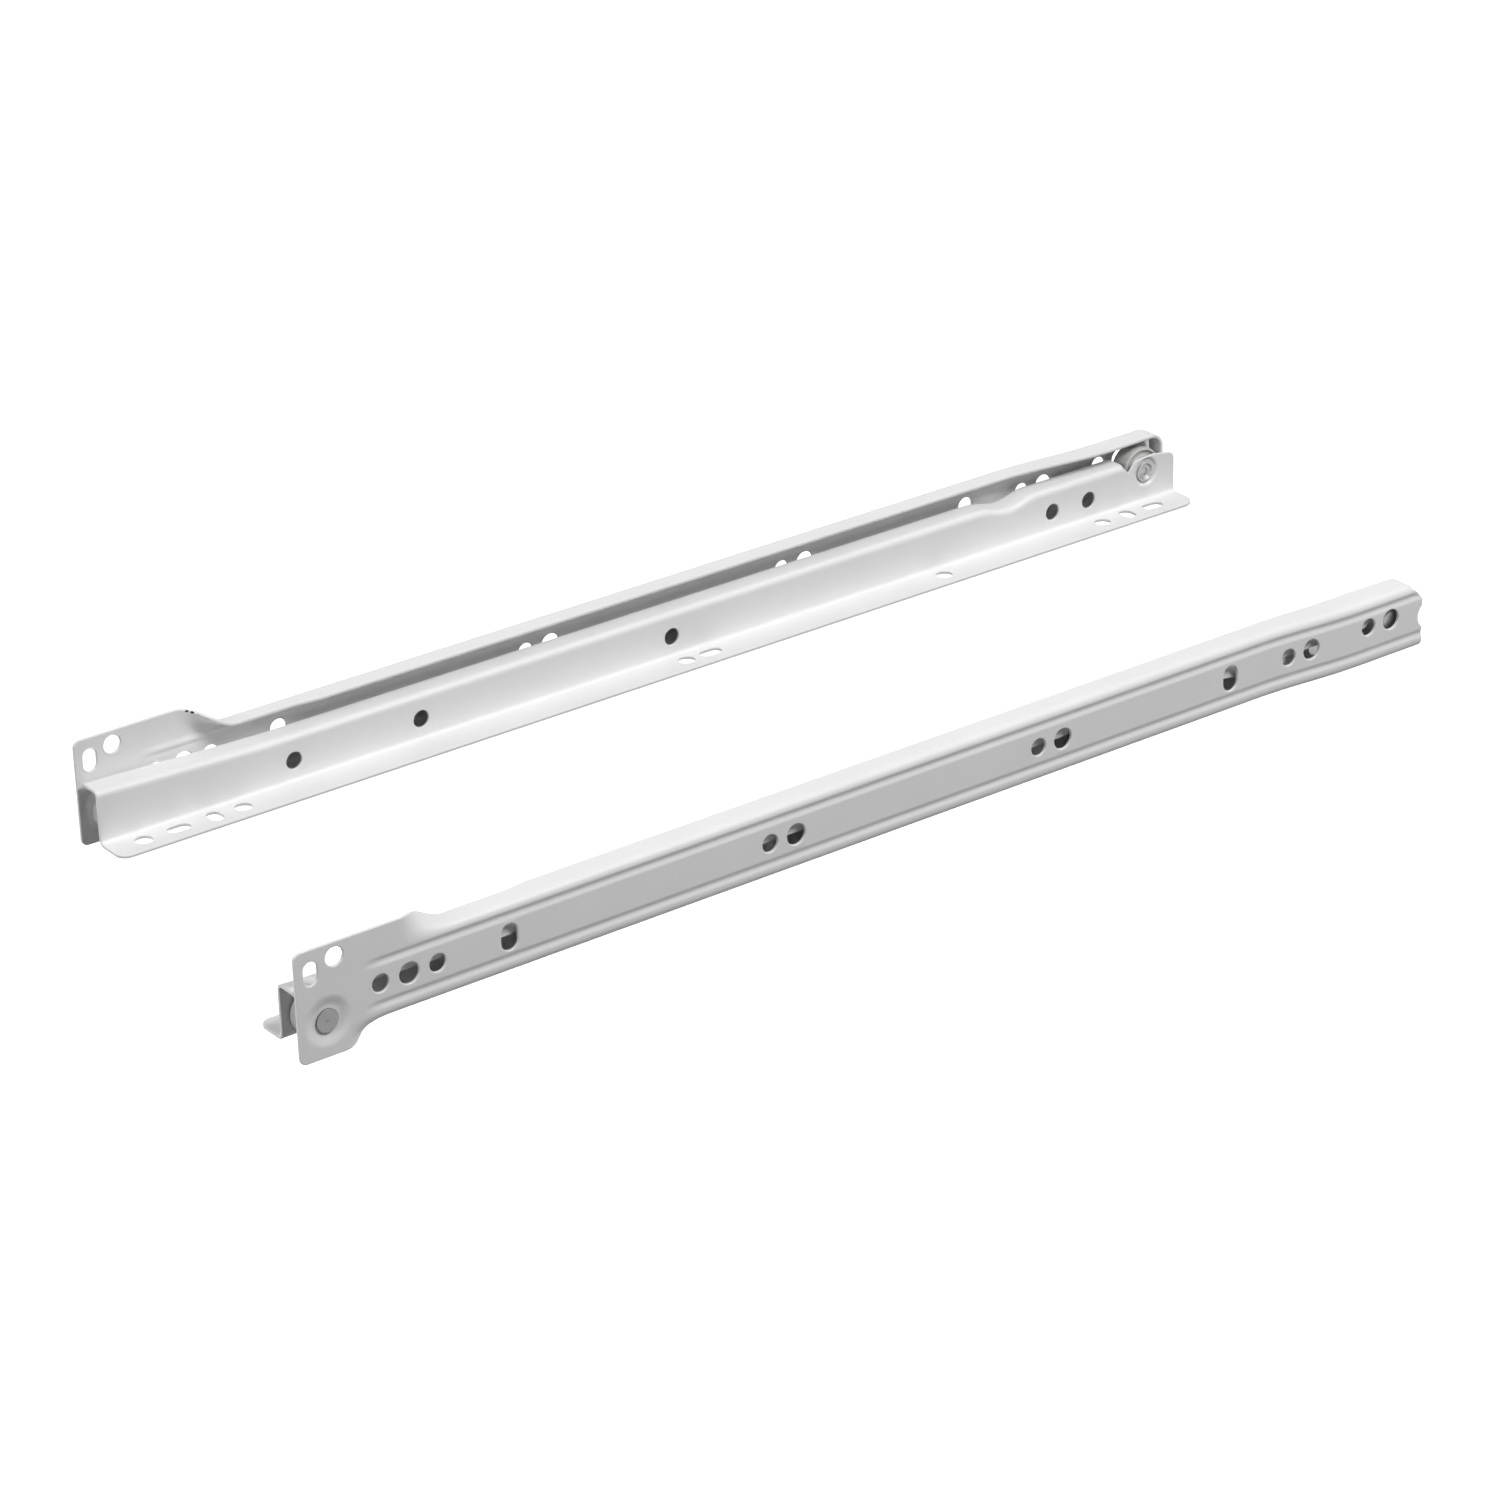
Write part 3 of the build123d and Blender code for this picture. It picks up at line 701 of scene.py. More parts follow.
def tread_tree() -> bpy.types.NodeTree:
    """Builds the tree that repeats a fine ridge across the tread of a roller.

    Returns:
        The tree, with the row of ridges, their sizes and their finish as inputs.
    """
    sockets = {
        "Centre": "NodeSocketVector",
        "Step": "NodeSocketVector",
        "Ridges": "NodeSocketInt",
        "Tread Radius": "NodeSocketFloat",
        "Tread Pieces": "NodeSocketInt",
        "Ridge Radius": "NodeSocketFloat",
        "Ridge Sides": "NodeSocketInt",
        "Finish": "NodeSocketMaterial",
    }
    tree, given = new_tree("tread_ridges", sockets)
    spots = {"Count": given["Ridges"], "Start Location": given["Centre"], "Offset": given["Step"]}
    row = add_node(tree, "GeometryNodeMeshLine", spots).outputs["Mesh"]
    ring = {"Radius": given["Tread Radius"], "Resolution": given["Tread Pieces"]}
    path = add_node(tree, "GeometryNodeCurvePrimitiveCircle", ring).outputs["Curve"]
    ring = {"Radius": given["Ridge Radius"], "Resolution": given["Ridge Sides"]}
    section = add_node(tree, "GeometryNodeCurvePrimitiveCircle", ring).outputs["Curve"]
    ridge = add_node(tree, "GeometryNodeCurveToMesh", {"Curve": path, "Profile Curve": section})
    spread = {"Points": row, "Instance": ridge.outputs["Mesh"], "Rotation": (SQUARE_TURN, 0.0, 0.0)}
    ridges = add_node(tree, "GeometryNodeInstanceOnPoints", spread)
    end_tree(tree, ridges.outputs["Instances"], given["Finish"])
    return tree


@dataclass
class FoldedSheet(ABC):
    """A rail of folded sheet: a flat blank with holes that is pressed, folded and coated."""

    dish: Dish
    # Sign of Y from the drawn face of the right-hand web through the sheet
    back: float = 1.0
    sheet: float = 1.0
    edge_radius: float = 0.24
    edge_pieces: int = 3
    edge_angle: float = 50.0
    rim_radius: float = 0.13
    rim_sides: int = 8
    rim_overhang: float = 0.4
    # Spacing of the points of the blank: along its outline, off its edges and in its grid
    outline_step: float = 0.9
    outline_margin: float = 0.5
    hole_margin: float = 0.55
    ring_room: float = 0.9
    grid_room: float = 1.6
    least_gap: float = 0.14
    end_gap: float = 0.6
    run_gap: float = 0.5
    fine_step: float = 0.9
    coarse_step: float = 2.2
    flat_step: float = 1.3
    nudge: float = 1e-3

    @abstractmethod
    def outline(self) -> np.ndarray:
        """Outline of the flat blank."""

    @abstractmethod
    def holes(self) -> list[Hole]:
        """Holes of the flat blank."""

    @abstractmethod
    def stations(self) -> np.ndarray:
        """X of the grid's lines across the blank."""

    @abstractmethod
    def heights(self) -> np.ndarray:
        """Heights of the grid's lines along the blank."""

    @abstractmethod
    def press(self, blank: np.ndarray) -> np.ndarray:
        """How far each point of the web is pressed along Y."""

    @abstractmethod
    def fold(self, blank: np.ndarray) -> np.ndarray:
        """Points of the flat blank after folding."""

    def spaced(self, start: float, plain: tuple[float, float], end: float) -> np.ndarray:
        """Spaces the grid's lines across the blank: closely at both ends, widely on the plain run.

        Args:
            start: X of the blank's front end.
            plain: where the plain run starts and ends.
            end: X of the blank's rear end.

        Returns:
            X of each line.
        """
        front = np.arange(start + self.end_gap, plain[0], self.fine_step)
        middle = np.arange(plain[0] + self.run_gap, plain[1], self.coarse_step)
        rear = np.arange(plain[1] + self.end_gap, end, self.fine_step)
        return np.concatenate((front, middle, rear))

    def grid(self) -> np.ndarray:
        """Spreads points inside the blank that let it follow its bends and pressings.

        Returns:
            The crossings of the grid's lines, and the rings of the dish.
        """
        net = np.stack(np.meshgrid(self.stations(), self.heights()), axis=-1).reshape(-1, 2)
        net = net[self.dish.off(net) > self.dish.reach()]
        return np.concatenate((net[in_outline(net, self.outline())], self.dish.rings()))

    def shells(self, blank: np.ndarray) -> tuple[np.ndarray, np.ndarray]:
        """Both faces of the pressed and folded sheet.

        Args:
            blank: points of the flat blank.

        Returns:
            Points of the drawn face, and of the other face a sheet's thickness behind it.
        """
        front = self.fold(blank)
        along = self.fold(blank + (self.nudge, 0.0)) - front
        upwards = self.fold(blank + (0.0, self.nudge)) - front
        normal = np.cross(along, upwards)
        normal *= -self.back / np.linalg.norm(normal, axis=1)[:, None]
        front[:, 1] += self.press(blank)
        return front, front + normal * self.sheet

    def inner_points(self, edge: np.ndarray, holes: list[Hole]) -> np.ndarray:
        """Spreads points inside the blank, clear of its edges.

        Args:
            edge: outline of the blank.
            holes: its holes.

        Returns:
            Lines along the holes and the outline, and then the grid.
        """
        tree = kdtree.KDTree(len(edge))
        for index, (x, y) in enumerate(edge):
            tree.insert((x, y, 0.0), index)
        tree.balance()
        leads = np.roll(edge, -1, axis=0) - np.roll(edge, 1, axis=0)
        leads /= np.linalg.norm(leads, axis=1)[:, None]
        rings = [hole.outline(self.hole_margin) for hole in holes]
        rings.append(edge + self.outline_margin * np.stack((-leads[:, 1], leads[:, 0]), axis=1))
        grid = self.grid()
        inner = np.concatenate((*rings, grid))
        room = np.repeat((self.ring_room, self.grid_room), (len(inner) - len(grid), len(grid)))
        near = np.array([tree.find((x, y, 0.0))[2] for x, y in inner])
        clear = near > room * self.outline_margin
        for hole in holes:
            clear &= hole.distance(inner) > room * self.hole_margin
        return thinned(inner[clear], self.least_gap)

    def cut(self) -> tuple[np.ndarray, list[tuple[int, ...]]]:
        """Cuts the blank and its holes.

        Returns:
            Points of the blank, and its triangles, all turned the same way.
        """
        holes = self.holes()
        loops = [self.outline(), *[hole.outline() for hole in holes]]
        points = np.concatenate((*loops, self.inner_points(loops[0], holes)))
        result = delaunay_2d_cdt([Vector(point) for point in points], loop_edges(loops), [], 1, SAME_PLACE)
        made = np.array([tuple(point) for point in result[0]])
        middles = made[np.array(result[2])].mean(axis=1)
        solid = np.ones(len(middles), dtype=bool)
        for hole in holes:
            solid &= hole.distance(middles) > 0
        return made, [tuple(face) for face, keep in zip(result[2], solid) if keep]

    def build(self, name: str, hand: Hand, material: bpy.types.Material) -> bpy.types.Object:
        """Makes the coated rail.

        Args:
            name: name of the piece.
            hand: side that the rail belongs to.
            material: finish of the rail.

        Returns:
            The rail as one closed piece with rounded paint edges.
        """
        blank, faces = self.cut()
        if (self.back < 0) != (hand is Hand.LEFT):
            faces = [face[::-1] for face in faces]
        size = len(blank)
        sides = {(face[i], face[(i + 1) % 3]) for face in faces for i in range(3)}
        edge = [(b, a, a + size, b + size) for a, b in sides if (b, a) not in sides]
        behind = [tuple(index + size for index in face[::-1]) for face in faces]
        points = PAIR.place(np.concatenate(self.shells(blank)), hand)
        carrier = linked(name + "_sheet", new_mesh(name, points, [], faces + behind + edge))
        soft = carrier.modifiers.new("paint_edges", "BEVEL")
        soft.width = self.edge_radius * MM
        soft.segments = self.edge_pieces
        soft.limit_method = "ANGLE"
        soft.angle_limit = math.radians(self.edge_angle)
        soft.use_clamp_overlap = False
        return new_piece(name, plain_mesh(carrier), material)

    def rims(self, name: str, hand: Hand, material: bpy.types.Material) -> bpy.types.Object:
        """Makes the low rims that the punch leaves round the holes on the far side of the sheet.

        Args:
            name: name of the piece.
            hand: side that the rail belongs to.
            material: finish of the rail.

        Returns:
            All rims of the rail as one piece.
        """
        margin = self.edge_radius + self.rim_overhang * self.rim_radius
        loops = [self.shells(hole.outline(margin))[1] for hole in self.holes()]
        points = PAIR.place(np.concatenate(loops), hand)
        carrier = linked(name + "_paths", new_mesh(name, points, loop_edges(loops), []))
        sizes = {"Rim Radius": self.rim_radius * MM, "Sides": self.rim_sides, "Finish": material}
        run_tree(carrier, rim_tree(), sizes)
        return new_piece(name, plain_mesh(carrier), material)


@dataclass
class CabinetRail(FoldedSheet):
    """Rail of the cabinet side: a channel whose web opens into a tall front plate."""

    dish: Dish = Dish(FRONT_AXLE, (3.9, 7.7), margin=1.0, ring_step=0.36, ring_pieces=64)
    length: float = 400.0
    plate_height: float = 32.8
    plate_corner: float = 2.2
    # Ends of the plate's top and foot, and from there where its edge leaves for the flange and reaches it
    plate_top: float = 34.5
    top_slope: tuple[float, float] = (0.6, 7.5)
    plate_foot: float = 16.8
    foot_slope: tuple[float, float] = (0.6, 11.5)
    bottom: float = 5.3
    top: float = 26.2
    fold_radius: float = 2.4
    reach: float = 8.0
    front_reach: float = 7.0
    reach_step: tuple[float, float] = (70.0, 78.0)
    top_fold: tuple[float, float] = (33.0, 50.0)
    foot_fold: tuple[float, float] = (14.4, 29.2)
    dip: tuple[float, float] = (335.0, 375.0)
    dip_drop: float = 1.4
    # Rear end of the web: heights of its notch and of its upper corner
    notch: tuple[float, float, float] = (11.9, 15.4, 18.9)
    notch_depth: float = 4.0
    rear_corner: float = 21.6
    # Rear lip, and the corners of the slit between it and the web, from the lip's start and its root
    lip_start: float = 394.2
    lip_radius: float = 4.6
    lip_drop: float = 5.2
    lip_reach: float = 8.8
    lip_slit: tuple[tuple[float, float], tuple[float, float]] = ((1.4, -1.6), (0.7, 0.4))
    fold_slack: float = 0.01
    rear_reach: float = 9.4
    rear_widening: tuple[float, float] = (335.0, 376.0)
    beads: tuple[float, float] = (9.9, 22.5)
    bead_half: float = 1.65
    bead_depth: float = 0.42
    bead_start: tuple[float, float] = (19.5, 28.0)
    # Holes of the row, which follows the dip at the rear, and of the front plate
    row: float = 16.0
    screws: tuple[float, ...] = (35.0, 163.0, 259.0, 355.0)
    rear_screw: float = 387.0
    screw_hole: float = 6.4
    pegs: tuple[float, ...] = (26.0, 44.0, 154.0, 250.0, 346.0)
    rear_peg: float = 378.0
    peg_hole: float = 5.35
    rear_rise: float = 0.5
    slots: tuple[float, ...] = (67.0, 323.0)
    slot_size: tuple[float, float] = (5.5, 8.0)
    plate_slot: tuple[float, float] = (4.9, 25.8)
    plate_slot_size: tuple[float, float] = (4.4, 7.0)
    plate_peg: tuple[float, float] = (12.4, 28.5)
    plate_peg_hole: float = 5.5
    # Lines of the grid
    plain_run: tuple[float, float] = (60.0, 320.0)
    floor_lines: tuple[float, float] = (6.0, 0.5)
    flange_line: float = 1.2
    bend_lines: int = 10
    bead_lines: int = 15
    web_lines: int = 8
    web_margin: float = 2.0
    least_line: float = 0.08

    def __post_init__(self) -> None:
        """Works out the bend lines and the rear end of the blank."""
        self.arc = self.fold_radius * SQUARE_TURN
        self.high = self.top - self.fold_radius
        self.low = self.bottom + self.fold_radius
        self.lip_arc = self.lip_radius * SQUARE_TURN
        self.lip_end = self.lip_start + self.lip_arc + self.lip_drop

    def drop(self, x: np.ndarray | float) -> np.ndarray:
        """How far the rail has sunk into the self-closing dip."""
        return self.dip_drop * ease((np.asarray(x) - self.dip[0]) / (self.dip[1] - self.dip[0]))

    def outline(self) -> np.ndarray:
        """Draws the outline of the flat blank.

        Returns:
            Its points, from the front plate's lower corner along the foot to the rear and back on top.
        """
        flange = self.high + self.arc - self.fold_radius
        wide = flange + self.reach
        front = flange + self.front_reach
        lip = flange + self.lip_reach
        root = self.high + self.arc
        floor = self.low - self.arc - (self.reach - self.fold_radius)
        (slit_end, slit_low), (slit_start, slit_high) = self.lip_slit
        corners = [
            (0.0, 0.0, self.plate_corner),
            (self.plate_foot + self.foot_slope[0], 0.0, 4.0),
            (self.plate_foot + self.foot_slope[1], floor, 9.0),
            (self.length, floor, 3.0),
            (self.length, self.notch[0], 0.4),
            (self.length - self.notch_depth, self.notch[1], 4.5),
            (self.length, self.notch[2], 0.4),
            (self.length, self.rear_corner, 2.0),
            (self.lip_start + slit_end, root + slit_low, 2.0),
            (self.lip_start + slit_start, root + slit_high, 0.8),
            (self.lip_end, root + slit_high, 0.9),
            (self.lip_end, lip, 1.6),
            (self.lip_start, lip, 3.0),
            (self.rear_widening[1], flange + self.rear_reach, 20.0),
            (self.rear_widening[0], wide, 20.0),
            (self.reach_step[1], wide, 12.0),
            (self.reach_step[0], front, 12.0),
            (self.plate_top + self.top_slope[1], front, 8.0),
            (self.plate_top + self.top_slope[0], self.plate_height, 2.0),
            (0.0, self.plate_height, self.plate_corner),
        ]
        return rounded(corners, self.outline_step)

    def holes(self) -> list[Hole]:
        """Lists the holes of the flat blank.

        Returns:
            Screw holes, peg holes and slots of the row, then those of the front plate and the axle's hole.
        """
        rear = self.row + self.rear_rise + self.dip_drop
        return [
            *[Hole(x, self.row + float(self.drop(x)), self.screw_hole) for x in self.screws],
            *[Hole(x, self.row + float(self.drop(x)), self.peg_hole) for x in self.pegs],
            *[Hole(x, self.row, *self.slot_size, upright=True) for x in self.slots],
            Hole(self.rear_screw, rear, self.screw_hole),
            Hole(self.rear_peg, rear, self.peg_hole),
            Hole(*self.plate_slot, *self.plate_slot_size, upright=True),
            Hole(*self.plate_peg, self.plate_peg_hole),
            Hole(*self.dish.centre, self.dish.hole),
        ]

    def stations(self) -> np.ndarray:
        """X of the grid's lines across the blank."""
        return self.spaced(0.0, self.plain_run, self.lip_end)

    def heights(self) -> np.ndarray:
        """Works out the heights of the grid's lines along the blank.

        Returns:
            Lines on both flanges, through both bends, over the beads and on the web between them.
        """
        foot, root = self.low - self.arc, self.high + self.arc
        bend = np.linspace(0, self.arc, self.bend_lines)
        bead = np.linspace(-1, 1, self.bead_lines) * self.bead_half
        first, last = self.beads
        lines = [
            np.arange(foot - self.floor_lines[0], foot - self.floor_lines[1], self.flat_step),
            self.low - bend,
            self.high + bend,
            np.arange(root + self.flange_line, root + self.rear_reach, self.flat_step),
            first + bead,
            last + bead,
            np.linspace(first + self.web_margin, last - self.web_margin, self.web_lines),
        ]
        heights = np.unique(np.round(np.concatenate(lines), 3))
        return heights[np.concatenate(([True], np.diff(heights) > self.least_line))]

    def press(self, blank: np.ndarray) -> np.ndarray:
        """Presses the beads and the dish.

        Args:
            blank: points of the flat blank.

        Returns:
            How far each point is pressed along Y.
        """
        share = ease((blank[:, 0] - self.bead_start[0]) / (self.bead_start[1] - self.bead_start[0]))
        pressed = self.dish.sunk(blank)
        for bead in self.beads:
            off = np.clip(np.abs(blank[:, 1] - bead) / self.bead_half, 0, 1)
            pressed += self.bead_depth * share * (1 + np.cos(math.pi * off)) / 2
        return pressed

    def fold(self, blank: np.ndarray) -> np.ndarray:
        """Folds both flanges, which run out into the flat front plate, and the rear lip.

        Args:
            blank: points of the flat blank.

        Returns:
            Where the points lie after folding.
        """
        x, height = blank[:, 0].copy(), blank[:, 1]
        over = np.maximum(height - self.high, 0)
        under = np.maximum(self.low - height, 0)
        over_turn = SQUARE_TURN * ease((x - self.top_fold[0]) / (self.top_fold[1] - self.top_fold[0]))
        under_turn = SQUARE_TURN * ease((x - self.foot_fold[0]) / (self.foot_fold[1] - self.foot_fold[0]))
        over_out, over_up = bent(over, over_turn, self.arc)
        under_out, under_up = bent(under, under_turn, self.arc)
        z = np.clip(height, self.low, self.high) + over_up - under_up - self.drop(x)
        past = np.maximum(x - self.lip_start, 0) * np.clip(over / self.arc, 0, 1) ** 2
        down, along = bent(past, SQUARE_TURN, self.lip_arc)
        lip = np.where(over > self.arc - self.fold_slack, along, x - self.lip_start)
        x = np.where(past > 0, np.minimum(x, self.lip_start) + lip, x)
        return np.stack((x, over_out + under_out, z - down), axis=1)


@dataclass
class DrawerRail(FoldedSheet):
    """Rail of the drawer: a web with a hemmed flange, a shelf under the drawer and a rear tab for the axle.

    The flange starts in a ramp, and a dip in it stops the rail at the front roller.
    """

    dish: Dish = Dish(REAR_AXLE, (3.9, 5.0), margin=0.8, ring_step=0.26, ring_pieces=56)
    back: float = -1.0
    start: float = 0.8
    end: float = 401.8
    face: float = 10.7
    top: float = 18.45
    fold_radius: float = 2.2
    top_reach: float = 8.5
    hem_radius: float = 1.3
    hem_depth: float = 3.2
    shelf_top: float = 4.35
    shelf_edge: float = 22.0
    shelf_root: float = 3.0
    # Top edge of the rear tab, down to the notch before it: distance from the rear end, height from the
    # flange's top and rounding radius of each corner
    tab: tuple[tuple[float, float, float], ...] = (
        (0.0, -0.7, 2.5),
        (8.8, 0.8, 12.0),
        (16.4, 0.2, 1.6),
        (18.8, -2.8, 0.5),
    )
    # Rear end of the flange, how far past it the notch's floor starts and the fold ends, and the height over
    # the bend line at which the flange leaves the web
    flange_end: float = 380.6
    notch_start: float = 1.5
    fold_end: float = 1.6
    flange_root: float = 1.6
    # Height on the web from which the ramp and the stop move it
    moved_from: float = 10.5
    ramp_length: float = 57.0
    ramp_rise: float = 2.2
    ramp_sag: float = 0.12
    stop: float = 332.8
    stop_half: float = 11.5
    stop_depth: float = 2.1
    # Holes of the web, and holes and slots of the shelf
    hole_line: float = 10.55
    web_holes: tuple[float, ...] = (65.8, 109.8, 200.8, 350.8, 365.8)
    web_hole: float = 5.4
    shelf_line: float = 15.7
    shelf_holes: tuple[float, ...] = (11.8, 44.8, 202.3, 302.3, 367.3)
    shelf_hole: float = 5.2
    long_slots: tuple[float, ...] = (23.3, 211.3, 388.3)
    long_slot: tuple[float, float] = (4.2, 7.4)
    cross_slots: tuple[float, ...] = (35.3, 377.8)
    cross_slot: tuple[float, float] = (4.2, 6.4)
    # Lines of the grid
    plain_run: tuple[float, float] = (66.0, 318.0)
    shelf_lines: tuple[float, float] = (0.8, 0.6)
    web_lines: tuple[float, float, float] = (1.2, 0.6, 1.2)
    flange_lines: tuple[float, float] = (1.2, 0.5)
    hem_line: float = 0.7
    bend_lines: int = 10
    tight_bend_lines: int = 8

    def __post_init__(self) -> None:
        """Works out the bend lines of the blank."""
        self.arc = self.fold_radius * SQUARE_TURN
        self.high = self.top - self.fold_radius
        self.edge = self.arc + self.top_reach - self.fold_radius - self.hem_radius
        self.hem_arc = self.hem_radius * SQUARE_TURN
        self.hem_end = self.edge + self.hem_arc + self.hem_depth - self.hem_radius
        self.shelf_radius = self.fold_radius - self.sheet
        self.shelf_arc = self.shelf_radius * SQUARE_TURN
        self.low = self.shelf_top + self.shelf_radius

    def on_shelf(self, y: float) -> float:
        """Height on the blank of a line on the shelf."""
        return self.low - self.shelf_arc - (y - self.face - self.shelf_radius)

    def outline(self) -> np.ndarray:
        """Draws the outline of the flat blank.

        Returns:
            Its points, from the shelf's front corner to the rear, over the tab and back along the hem.
        """
        edge = self.on_shelf(self.shelf_edge)
        hem = self.high + self.hem_end
        notch = self.top + self.tab[-1][1]
        corners = [
            (self.start, edge, 3.5),
            (self.end, edge, 5.0),
            (self.end, self.on_shelf(self.face + self.shelf_root), 2.5),
            *[(self.end - x, self.top + z, radius) for x, z, radius in self.tab],
            (self.flange_end + self.notch_start, notch, 0.5),
            (self.flange_end, self.high + self.flange_root, 1.0),
            (self.flange_end, hem, 3.0),
            (self.start, hem, 3.0),
        ]
        return rounded(corners, self.outline_step)

    def holes(self) -> list[Hole]:
        """Lists the holes of the flat blank.

        Returns:
            Holes of the web, holes and slots of the shelf, and the axle's hole.
        """
        line = self.on_shelf(self.shelf_line)
        return [
            *[Hole(x, self.hole_line, self.web_hole) for x in self.web_holes],
            *[Hole(x, line, self.shelf_hole) for x in self.shelf_holes],
            *[Hole(x, line, *self.long_slot) for x in self.long_slots],
            *[Hole(x, line, *self.cross_slot, upright=True) for x in self.cross_slots],
            Hole(*self.dish.centre, self.dish.hole),
        ]

    def stations(self) -> np.ndarray:
        """X of the grid's lines across the blank."""
        return self.spaced(self.start, self.plain_run, self.end)

    def heights(self) -> np.ndarray:
        """Works out the heights of the grid's lines along the blank.

        Returns:
            Lines on the shelf, the web, the flange and the hem, and through the bends between them.
        """
        edge = self.on_shelf(self.shelf_edge)
        root = self.low - self.shelf_arc
        above, below, web_step = self.web_lines
        flange = (self.arc + self.flange_lines[0], self.edge - self.flange_lines[1])
        lines = [
            np.arange(edge + self.shelf_lines[0], root - self.shelf_lines[1], self.flat_step),
            self.low - np.linspace(0, self.shelf_arc, self.tight_bend_lines),
            np.arange(self.low + above, self.high - below, web_step),
            self.high + np.linspace(0, self.arc, self.bend_lines),
            self.high + np.arange(*flange, self.flat_step),
            self.high + self.edge + np.linspace(0, self.hem_arc, self.tight_bend_lines),
            self.high + np.arange(self.edge + self.hem_arc + self.hem_line, self.hem_end, self.hem_line),
        ]
        return np.concatenate(lines)

    def press(self, blank: np.ndarray) -> np.ndarray:
        """How far each point of the web is pressed along Y by the dish."""
        return -self.dish.sunk(blank)

    def fold(self, blank: np.ndarray) -> np.ndarray:
        """Folds the flange with its hem and the shelf, raises the ramp and sinks the stop.

        Args:
            blank: points of the flat blank.

        Returns:
            Where the points lie after folding.
        """
        x, height = blank[:, 0], blank[:, 1]
        over = np.maximum(height - self.high, 0)
        under = np.maximum(self.low - height, 0)
        turn = np.where(x < self.flange_end + self.fold_end, SQUARE_TURN, 0.0)
        over_out, over_up = bent(np.minimum(over, self.edge), turn, self.arc)
        hem_down, hem_out = bent(np.maximum(over - self.edge, 0), SQUARE_TURN, self.hem_arc)
        under_out, under_up = bent(under, SQUARE_TURN, self.shelf_arc)
        y = self.face - over_out - hem_out + under_out
        moved = np.clip((height - self.moved_from) / (self.high - self.moved_from), 0, 1)
        sunk = (1 + np.cos(math.pi * np.clip(np.abs(x - self.stop) / self.stop_half, 0, 1))) / 2
        sunk *= self.stop_depth * ease(moved)
        lead = (x - self.start) / self.ramp_length
        sag = 1 - self.ramp_sag * np.clip(lead, 0, 1)
        raised = self.ramp_rise * moved * np.maximum(1 - lead, 0.0) * sag
        level = np.clip(height, self.low, self.high) + over_up - hem_down - under_up
        return np.stack((x, y, level + raised - sunk), axis=1)


def turned_mesh(
    name: str, profile: np.ndarray, centre: tuple[float, float], hand: Hand, pieces: int
) -> bpy.types.Mesh:
    """Mesh of a turned piece about a line along Y.

    Args:
        name: name of the mesh.
        profile: radius and Y of each point of the section, round the solid.
        centre: X and Z of the axis.
        hand: side that the piece belongs to.
        pieces: faces round the axis.

    Returns:
        Closed mesh with faces pointing outwards.
    """
    points: list[tuple[float, float, float]] = []
    rows: list[list[int]] = []
    for radius, y in profile:
        on_axis = radius < TINY
        row: list[int] = []
        for index in range(1 if on_axis else pieces):
            angle = 2 * math.pi * index / pieces
            row.append(len(points))
            points.append((centre[0] + radius * math.cos(angle), y, centre[1] + radius * math.sin(angle)))
        rows.append(row * pieces if on_axis else row)
    ring_count = len(rows)
    closed = profile[0][0] > TINY
    faces: list[tuple[int, ...]] = []
    for index in range(ring_count if closed else ring_count - 1):
        here, there = rows[index], rows[(index + 1) % ring_count]
        for step in range(pieces):
            after = (step + 1) % pieces
            corners = (here[step], here[after], there[after], there[step])
            faces.append(tuple(dict.fromkeys(corners)))
    ahead = np.roll(profile, -1, axis=0)
    area = sum(a[0] * b[1] - b[0] * a[1] for a, b in zip(profile.tolist(), ahead.tolist()))
    if (area < 0) != (hand is Hand.LEFT):
        faces = [face[::-1] for face in faces]
    return new_mesh(name, PAIR.place(np.array(points), hand), [], faces)


